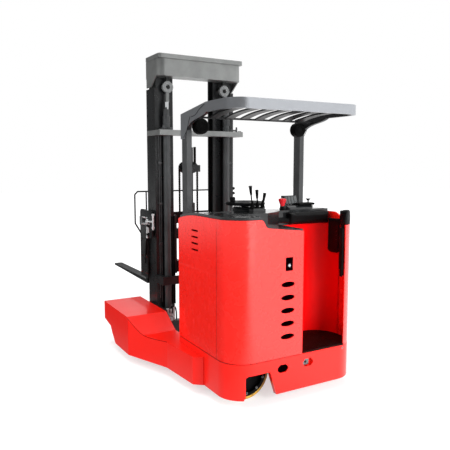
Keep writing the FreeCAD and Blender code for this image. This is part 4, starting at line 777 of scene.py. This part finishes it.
class TRUCK_OT_drive_wheel(bpy.types.Operator):
    """Bolt the drive wheel's dish and cap its hub"""
    bl_idname = "truck.drive_wheel"
    bl_label = "Drive wheel"

    def execute(self, context):
        sizes = context.scene.truck_sizes
        low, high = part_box("drive_wheel")
        x, z, face = (low.x + high.x) / 2, (low.z + high.z) / 2, low.y - REAR
        bolt_circle, screw_circle = 0.153, 0.04
        turns = [2 * pi * (k + 0.5) / sizes.wheel_bolts for k in range(sizes.wheel_bolts)]
        places = [(at(x + bolt_circle * cos(a), face + 0.0005, z + bolt_circle * sin(a)), REARWARD)
                  for a in turns]
        repeated("drive_wheel_bolts", hex_bolt(sizes.bolt_head), places,
                 "zinc", "drive_roller")
        cap = [turned([(0.0, 0.052), (0.004, 0.052), (0.006, 0.048), (0.006, 0.03), (0.008, 0.028),
                       (0.011, 0.022), (0.012, 0.008)], at(x, face, z), REARWARD, 40),
               ring([(0.0, 0.150), (0.0, 0.156), (0.003, 0.156), (0.003, 0.151)],
                    at(x, face + 0.001, z), REARWARD, 64)]
        piece("drive_hub_cap", cap, "wheel", "drive_roller")
        screws = [(at(x + screw_circle * cos(a), face - 0.004, z + screw_circle * sin(a)), REARWARD)
                  for a in (pi / 2, pi * 7 / 6, pi * 11 / 6)]
        repeated("drive_hub_screws", cap_screw(0.004), screws, "zinc",
                 "drive_roller")
        return {"FINISHED"}


def link_plate(length, width, low, high, shift=0.0):
    """Flat chain plate with round ends and a waist, between two heights on its pin axis."""
    outline = []
    for side in (1, -1):
        for k in range(5):
            turn = pi * (k / 4 - 0.5)
            outline.append((side * (length / 2 + cos(turn) * width / 2) + shift,
                            side * sin(turn) * width / 2))
        outline.append((shift, side * width * 0.24))
    return tube([[Vector((a, b, z)) for a, b in outline] for z in (low, high)])


class TRUCK_OT_chains(bpy.types.Operator):
    """Build the two leaf chains link by link over their sheaves"""
    bl_idname = "truck.chains"
    bl_label = "Lifting chains"

    def execute(self, context):
        pitch = context.scene.truck_sizes.link_pitch
        low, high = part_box("lift_chains")
        thick, radius, sheave_x, sheave_z = 0.010, 0.060, 0.048, 1.760
        middle = (low.y + high.y) / 2 - REAR
        half = (high.y - low.y) / 2
        run = radius - thick / 2
        path = []
        z = low.z + pitch / 2
        while z < sheave_z:
            path.append(((sheave_x + run, z), (0.0, 1.0)))
            z += pitch
        wrap = (z - sheave_z) / run
        while wrap < pi * 0.80:
            path.append(((sheave_x + run * cos(wrap), sheave_z + run * sin(wrap)),
                         (-sin(wrap), cos(wrap))))
            wrap += pitch / run
        places = []
        for side in (1, -1):
            for (x, z), (dx, dz) in path:
                places.append((at(side * x, middle, z), FORWARD, (side * dx, 0, dz)))
        wide = thick * 1.9
        shapes = [turned([(-half, 0.0028), (half, 0.0028)], Vector((-pitch / 2, 0, 0)), UP, 8)]
        for a, b in ((-half, -half + 0.0026), (half - 0.0026, half), (-0.0013, 0.0013)):
            shapes.append(link_plate(pitch * 0.52, wide, a, b))
        for a, b in ((-half + 0.003, -half + 0.0056), (half - 0.0056, half - 0.003)):
            shapes.append(link_plate(pitch * 0.52, wide * 0.94, a, b, pitch / 2))
        chains = repeated("lifting_chains", shapes, places, "chain", "free_head")
        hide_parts("lift_chains")
        rims = []
        for x in (-sheave_x, sheave_x):
            for y in (middle - 0.0125, middle + 0.0085):
                rims.append(ring([(0.0, 0.020), (0.0, 0.052), (0.001, 0.0545), (0.003, 0.0545),
                                  (0.004, 0.052), (0.004, 0.020)], at(x, y, sheave_z), FORWARD))
            rims += hex_bolt(0.020, at(x, middle - 0.0155, sheave_z), REARWARD)
        piece("sheave_rims", rims, "turned", "free_head")
        return {"FINISHED"}


class TRUCK_OT_mast_fittings(bpy.types.Operator):
    """Fit the lift rods' eyes, the collar's bolts and hose fittings, and the head's bolts"""
    bl_idname = "truck.mast_fittings"
    bl_label = "Mast fittings"

    def execute(self, context):
        eyes, glands, pipes, fittings, bolts = [], [], [], [], []
        for side in (-1, 1):
            for face, out in ((1.710, -1), (1.736, 1)):
                eyes.append(ring([(0.0, 0.0215), (0.003, 0.0225), (0.004, 0.027), (0.001, 0.030),
                                  (0.001, 0.042), (0.004, 0.045), (0.004, 0.052), (0.0, 0.054)],
                                 at(side * 0.314, face, 2.540), (0, out, 0)))
            glands.append(ring([(0.0, 0.0305), (0.0, 0.035), (0.036, 0.035), (0.038, 0.033),
                                (0.044, 0.033), (0.046, 0.035), (0.070, 0.035), (0.074, 0.029),
                                (0.132, 0.029), (0.136, 0.026), (0.136, 0.0235), (0.064, 0.0235),
                                (0.064, 0.0305)], at(side * 0.335, 1.710, 2.190)))
            for x, z_low in ((0.386, 0.420), (0.404, 0.460)):
                pipes.append(swept([(side * x, 1.7425, z) for z in (z_low, 1.2, 2.074)], 0.0055))
            for z in (0.60, 1.00, 1.40, 1.80):
                pipes.append(slab(at(side * 0.395 - 0.018, 1.734, z),
                                  at(side * 0.395 + 0.018, 1.7495, z + 0.022)))
            bolts += [(at(side * x, 1.612, 2.125), UP) for x in (0.447, 0.427)]
            fittings += banjo(at(side * 0.405, 1.622, 2.125), UP, 0.010)
            fittings += banjo(at(side * 0.372, 1.640, 2.140), (side, 0, 0), 0.009)
            fittings.append(slab(at(side * 0.335 - 0.016, 1.600, 2.125),
                                 at(side * 0.335 + 0.016, 1.624, 2.150), 0.004))
        piece("lift_rod_eyes", eyes, "eye", "mid_stage")
        piece("cylinder_glands", glands, "gland", "mast_base")
        piece("mast_pipes", pipes, "gland", "mast_base")
        hoses = [swept([(x, y, z) for z in (0.395, 0.800, 1.285)], radius)
                 for x, y, radius in ((-0.288, 1.708, 0.011), (-0.265, 1.712, 0.010))]
        piece("lift_hoses", hoses, "rubber", "mast_base")
        stop_bar = [slab(at(0.020, 1.826, 1.800), at(0.044, 1.846, 1.975), 0.004)]
        piece("free_lift_stop", stop_bar, "rubber", "free_head")
        piece("collar_fittings", fittings, "gland", "mast_base")
        repeated("collar_bolts", hex_bolt(0.015), bolts, "zinc", "mast_base")
        head = [(at(x, 1.640, 2.830), UP) for x in (-0.38, -0.13, 0.13, 0.38)]
        repeated("head_cap_bolts", hex_bolt(0.014, washer=False), head, "mast_grey",
                 "mid_stage", 0.55)
        switches = [slab(at(0.4402, 1.772, 1.455), at(0.456, 1.806, 1.560), 0.004)]
        for z in (1.490, 1.540):
            switches.append(turned([(0.0, 0.013), (0.012, 0.015), (0.022, 0.014), (0.027, 0.009)],
                                   at(0.456, 1.789, z), (1, 0, 0), 24))
        piece("mast_switches", switches, "grip", "mast_base")
        return {"FINISHED"}


class TRUCK_OT_guard_trim(bpy.types.Operator):
    """Glaze and rim the work lamps, and draw the seams of the guard's arms"""
    bl_idname = "truck.guard_trim"
    bl_label = "Guard trim"

    def execute(self, context):
        rims, lenses, backs = [], [], []
        for x in (-0.484, 0.484):
            front = at(x, 0.735, 2.098)
            rims.append(ring([(-0.002, 0.042), (0.003, 0.043), (0.004, 0.046), (0.003, 0.050),
                              (-0.002, 0.051)], front, FORWARD))
            lenses.append(turned([(-0.001, 0.044), (0.0015, 0.042), (0.0025, 0.028),
                                  (0.003, 0.008)], front, FORWARD, 40))
            for radius in (0.026, 0.040):
                backs.append(ring([(0.0, radius - 0.003), (0.003, radius - 0.002),
                                   (0.003, radius + 0.002), (0.0, radius + 0.003)],
                                  at(x, 0.655, 2.098), REARWARD))
        piece("lamp_rims", rims, "lamp", "chassis")
        piece("lamp_backs", backs, "lamp", "chassis")
        piece("lamp_lenses", lenses, "glass", "chassis")
        seams = []
        for side in (-1, 1):
            x = side * 0.5905
            seams.append(swept([(x, 0.782, 2.012), (x, 0.722, 2.072), (x, 0.690, 2.128),
                                (x, 0.668, 2.170)], 0.0022, 6))
            seams.append(swept([(x, 0.420, 2.243), (x, 0.500, 2.214), (x, 0.575, 2.176),
                                (x, 0.650, 2.166)], 0.0022, 6))
        piece("guard_seams", seams, "rubber", "chassis")
        return {"FINISHED"}


def leaning_slab(low, high, lean, foot, edge=0.003):
    """Slab whose top leans forward: everything turns about the foot line along X."""
    points, faces = slab(low, high, edge)
    turn = Matrix.Rotation(-lean, 3, "X")
    return [foot + turn @ (p - foot) for p in points], faces


class TRUCK_OT_console_trim(bpy.types.Operator):
    """Fit the gaiters, stop button, screen, arm rest, trays' beads and steering rim"""
    bl_idname = "truck.console_trim"
    bl_label = "Console trim"

    def execute(self, context):
        gaiters = []
        for x in (-0.176, -0.128, -0.080):
            profile = [(0.0, 0.0235)]
            for fold in range(5):
                r = 0.0225 - fold * 0.0030
                profile += [(0.004 + fold * 0.010, r), (0.009 + fold * 0.010, r - 0.005)]
            profile += [(0.056, 0.0075), (0.060, 0.0068)]
            gaiters.append(turned(profile, at(x, 0.400, 1.452), UP, 24))
        piece("lever_gaiters", gaiters, "rubber", "chassis")
        stop = at(0.180, 0.490, 0.0)
        dome = turned([(1.450, 0.0165), (1.450, 0.0181), (1.4565, 0.0182), (1.4975, 0.0328),
                       (1.507, 0.0330), (1.511, 0.028), (1.5135, 0.018), (1.515, 0.006)],
                      stop, UP, 40)
        piece("stop_button_head", [dome], "red_plastic", "chassis")
        collar = [turned([(1.4225, 0.024), (1.430, 0.024), (1.433, 0.0225), (1.445, 0.0185)], stop,
                         UP, 40)]
        piece("stop_button_collar", collar, "rubber", "chassis")
        lean = atan2(0.026, 0.082)
        foot = at(0.311, 0.540, 1.448)
        window = leaning_slab(at(0.250, 0.537, 1.462), at(0.372, 0.541, 1.526), lean, foot, 0.002)
        piece("screen_window", [window], "glass", "chassis")
        keys = [(foot + Matrix.Rotation(-lean, 3, "X") @ Vector((x, -0.001, 0.008)), (0, -1, 0.3))
                for x in (-0.045, -0.015, 0.015, 0.045)]
        repeated("screen_keys", cap_screw(0.006), keys, "grip", "chassis")
        rest = [slab(at(0.335, 0.452, 1.4485), at(0.500, 0.536, 1.472), 0.011)]
        rest = piece("arm_rest", rest, "rubber", "chassis")
        bend = rest.modifiers.new("round", "SUBSURF")
        bend.levels = bend.render_levels = 2
        rest.data = made_real(rest)
        rest.data.materials.clear()
        rest.data.materials.append(FINISH["rubber"])
        trays = [slab(at(-0.285, 0.055, 1.3165), at(-0.020, 0.060, 1.3215), 0.002),
                 slab(at(-0.565, 0.480, 1.4215), at(-0.320, 0.484, 1.4245), 0.001),
                 slab(at(0.190, 0.400, 1.4215), at(0.560, 0.404, 1.4245), 0.001)]
        piece("deck_beads", trays, "console", "chassis")
        wheel = at(-0.120, 0.600, 1.476)
        rim = [ring([(0.008, 0.128), (0.013, 0.134), (0.016, 0.144), (0.013, 0.154), (0.004, 0.161),
                     (0.004, 0.130)], wheel, UP, 64),
               turned([(0.011, 0.046), (0.016, 0.043), (0.020, 0.030), (0.021, 0.010)],
                      wheel, UP, 40)]
        for k in range(3):
            turn = radians(90 + 120 * k)
            spoke = slab((0.035, -0.016, 0.010), (0.135, 0.016, 0.0155), 0.005)
            spin = Matrix.Rotation(turn, 3, "Z")
            rim.append(([wheel + spin @ Vector(p) for p in spoke[0]], spoke[1]))
        piece("steering_rim", rim, "grip", "steering")
        knob = [turned([(0.012, 0.020), (0.020, 0.0215), (0.045, 0.0225), (0.056, 0.018),
                        (0.0575, 0.006)], wheel + Vector((-0.120, 0, 0)))]
        piece("steering_knob", knob, "grip", "steering")
        return {"FINISHED"}


class TRUCK_OT_cover_trim(bpy.types.Operator):
    """Back the vents, the lashing hole and the side slots with near-black sheets that paint the
    shade in them, draw the seams, and fit the key, side pad, screws and towing pin
    """
    bl_idname = "truck.cover_trim"
    bl_label = "Cover trim"

    def execute(self, context):
        # near-black sheets without gloss behind the vents and the side slots and in the lashing
        # hole: painted shade in the openings
        backs = [slab(at(-0.185, 0.0140, 0.470), at(-0.035, 0.0170, 0.945), 0.001),
                 slab(at(-0.1955, 0.010, 0.2315), at(-0.1005, 0.012, 0.2905), 0.0005),
                 slab(at(-0.5875, 0.505, 1.105), at(-0.5845, 0.650, 1.300), 0.001)]
        piece("vent_screens", backs, "mesh", "chassis")
        plate = [slab(at(-0.135, -0.0005, 1.008), at(-0.068, 0.002, 1.111), 0.0009)]
        piece("key_plate", plate, "mesh", "chassis")
        key = [turned([(0.0, 0.011), (0.003, 0.0105), (0.004, 0.008)], at(-0.1015, -0.0005, 1.050),
                      REARWARD, 24),
               slab(at(-0.1030, -0.009, 1.037), at(-0.1000, -0.003, 1.063), 0.001)]
        piece("key_switch", key, "plated", "chassis")
        arc = [(-0.4 - 0.2005 * cos(a), 0.2 - 0.2005 * sin(a))
               for a in (k * pi / 12 for k in range(7))]
        seam = [(x, y, 0.346) for x, y in [(-0.6005, 0.86), (-0.6005, 0.5)] + arc
                + [(-0.2, -0.0005), (0.022, -0.0005)]]
        upright = [(-0.5995, 0.221, z) for z in (0.346, 0.800, 1.312)]
        piece("cover_seam", [swept(seam, 0.0018, 6), swept(upright, 0.0015, 6)],
              "rubber", "chassis")
        edges = [swept([(side * 0.7065, 0.902, 0.2965), (side * 0.8125, 1.180, 0.2965),
                        (side * 0.8865, 1.372, 0.4090)], 0.0016, 6) for side in (-1, 1)]
        piece("leg_seams", edges, "rubber", "chassis")
        side = [slab(at(0.430, 0.020, 0.960), at(0.4462, 0.062, 1.296), 0.006),
                slab(at(0.436, 0.026, 0.902), at(0.4462, 0.056, 0.966), 0.004)]
        piece("hip_pad_side", side, "rubber", "chassis")
        pad = frame["nodes"]["back_pad"].data
        skin = BVHTree.FromPolygons([v.co for v in pad.vertices],
                                    [tuple(p.vertices) for p in pad.polygons])
        hits = [skin.ray_cast(at(0.2, 0.236, z), (1, 0, 0)) for z in (1.135, 1.170, 1.205, 1.240)]
        studs = [(spot, facing) for spot, facing, _, _ in hits if spot]
        repeated("pad_studs", cap_screw(0.0045), studs, "turned", "chassis")
        rim = [turned([(0.0, 0.011), (0.002, 0.011), (0.003, 0.009), (0.003, 0.005)],
                      at(0.440, 0.0040, 0.322), (0.2, -1, 0), 20)]
        piece("rim_screw", rim, "zinc", "chassis")
        pin = [turned([(0.0, 0.012), (0.006, 0.012), (0.007, 0.010), (0.014, 0.010),
                       (0.016, 0.007)], at(0.078, 0.016, 0.268), REARWARD, 24),
               slab(at(0.046, 0.014, 0.243), at(0.108, 0.0335, 0.293), 0.003)]
        piece("towing_pin", pin, "zinc", "chassis")
        return {"FINISHED"}


class TRUCK_OT_carriage_fittings(bpy.types.Operator):
    """Fit valves, hoses and bolts to the lift carriage and the fork frame"""
    bl_idname = "truck.carriage_fittings"
    bl_label = "Carriage fittings"

    def execute(self, context):
        left = -0.478
        out = left - 0.018
        guard = [slab(at(left - 0.0075, 1.752, 1.062), at(left, 1.962, 1.336), 0.002)]
        piece("hose_guard", guard, "mast", "carriage")
        fittings = [ring([(0.0, 0.011), (0.0, 0.021), (0.003, 0.024), (0.015, 0.024),
                          (0.018, 0.021), (0.018, 0.011)], at(left - 0.009, 1.850, 1.228),
                         LEFTWARD, 32),
                    swept([(out, 1.862, 1.228), (out, 1.795, 1.232),
                           (out, 1.745, 1.236), (out, 1.697, 1.236)], 0.0085),
                    swept([(out, 1.693, 1.160), (out, 1.693, 1.235),
                           (out, 1.693, 1.318)], 0.0095)]
        for z in (1.172, 1.298):
            fittings.append(turned([(0.0, 0.014), (0.018, 0.014), (0.020, 0.011)],
                                   at(out, 1.693, z), UP, 6))
        for y, z in ((1.900, 1.195), (1.875, 1.262), (1.810, 1.205)):
            fittings += banjo(at(left - 0.0075, y, z), (-1, 0, 0.25), 0.009)
        for y, z, length in ((1.850, 1.110, 0.065), (1.850, 1.060, 0.030), (1.815, 1.120, 0.050)):
            fittings.append(turned([(0.0, 0.0085), (0.002, 0.0100), (length, 0.0100),
                                    (length + 0.002, 0.0085)], at(out, y, z), UP, 16))
        piece("valve_fittings", fittings, "plated", "carriage")
        hoses = [swept([(out, 1.850, 1.210), (out, 1.850, 1.110),
                        (left - 0.010, 1.890, 1.040), (left - 0.001, 1.920, 0.970),
                        (left - 0.001, 1.932, 0.880)], 0.007, 10),
                 swept([(out, 1.815, 1.225), (out, 1.815, 1.125),
                        (left - 0.016, 1.866, 1.055), (left - 0.002, 1.934, 0.970),
                        (left - 0.001, 1.955, 0.790)], 0.0055, 10)]
        piece("carriage_hoses", hoses, "rubber", "carriage")
        bolts = [(at(side * 0.470, y, z), (side, 0, 0)) for side in (-1, 1) for y in (1.945, 2.075)
                 for z in (0.690, 0.860, 1.030)]
        repeated("plate_bolts", hex_bolt(0.018), bolts, "zinc", "carriage")
        stops = [(at(x, 2.110, z), FORWARD) for x in (-0.13, 0.13) for z in (1.020, 1.070)]
        repeated("frame_bolts", hex_bolt(0.016), stops, "zinc", "tilt_frame")
        return {"FINISHED"}


class TRUCK_OT_reach_fittings(bpy.types.Operator):
    """Fit the valve, pipes and hoses at the foot of the mast's left side"""
    bl_idname = "truck.reach_fittings"
    bl_label = "Reach fittings"

    def execute(self, context):
        shapes = [slab(at(-0.425, 1.566, 0.2605), at(-0.345, 1.610, 0.330), 0.004),
                  turned([(0.0, 0.017), (0.050, 0.017), (0.054, 0.013)], at(-0.400, 1.588, 0.330),
                         UP, 24),
                  turned([(0.0, 0.015), (0.030, 0.015), (0.032, 0.010)], at(-0.425, 1.588, 0.305),
                         LEFTWARD, 6)]
        for x, z in ((-0.385, 0.300), (-0.360, 0.312)):
            shapes += banjo(at(x, 1.566, z), REARWARD, 0.011)
        for x, tall in ((-0.365, 0.0), (-0.330, 0.022)):
            shapes += banjo(at(x, 1.592, 0.330 + tall), (0.1, 0, 1), 0.010)
        shapes.append(swept([(-0.330, 1.592, 0.262), (-0.330, 1.592, 0.355)], 0.009))
        piece("reach_valve", shapes, "plated", "mast_base")
        hoses = [swept([(-0.360, 1.592, 0.378), (-0.350, 1.592, 0.398), (-0.318, 1.594, 0.390),
                        (-0.302, 1.596, 0.340), (-0.300, 1.596, 0.262)], 0.007)]
        piece("reach_hoses", hoses, "rubber", "mast_base")
        return {"FINISHED"}


class TRUCK_PT_panel(bpy.types.Panel):
    """The truck's operators and settings"""
    bl_label = "Truck"
    bl_idname = "TRUCK_PT_panel"
    bl_space_type = "VIEW_3D"
    bl_region_type = "UI"
    bl_category = "Truck"

    def draw(self, context):
        for kind in OPERATORS:
            self.layout.operator(kind.bl_idname)
        for name in ("truck_colours", "truck_sizes", "truck_stage"):
            settings = getattr(context.scene, name)
            for key in type(settings).__annotations__:
                self.layout.prop(settings, key)


OPERATORS = (TRUCK_OT_stage, TRUCK_OT_finishes, TRUCK_OT_pads, TRUCK_OT_mat_ribs,
             TRUCK_OT_drive_wheel, TRUCK_OT_chains, TRUCK_OT_mast_fittings, TRUCK_OT_guard_trim,
             TRUCK_OT_console_trim, TRUCK_OT_cover_trim, TRUCK_OT_carriage_fittings,
             TRUCK_OT_reach_fittings)
GROUPS = {"truck_colours": TruckColours, "truck_sizes": TruckSizes, "truck_stage": StageSettings}


def register():
    for kind in tuple(GROUPS.values()) + OPERATORS + (TRUCK_PT_panel,):
        bpy.utils.register_class(kind)
    for name, kind in GROUPS.items():
        setattr(bpy.types.Scene, name, PointerProperty(type=kind))


def unregister():
    for name in GROUPS:
        delattr(bpy.types.Scene, name)
    for kind in (TRUCK_PT_panel,) + OPERATORS[::-1] + tuple(GROUPS.values()):
        bpy.utils.unregister_class(kind)


def main():
    register()
    for kind in OPERATORS:
        family, action = kind.bl_idname.split(".")
        getattr(getattr(bpy.ops, family), action)()


if __name__ == "__main__":
    main()
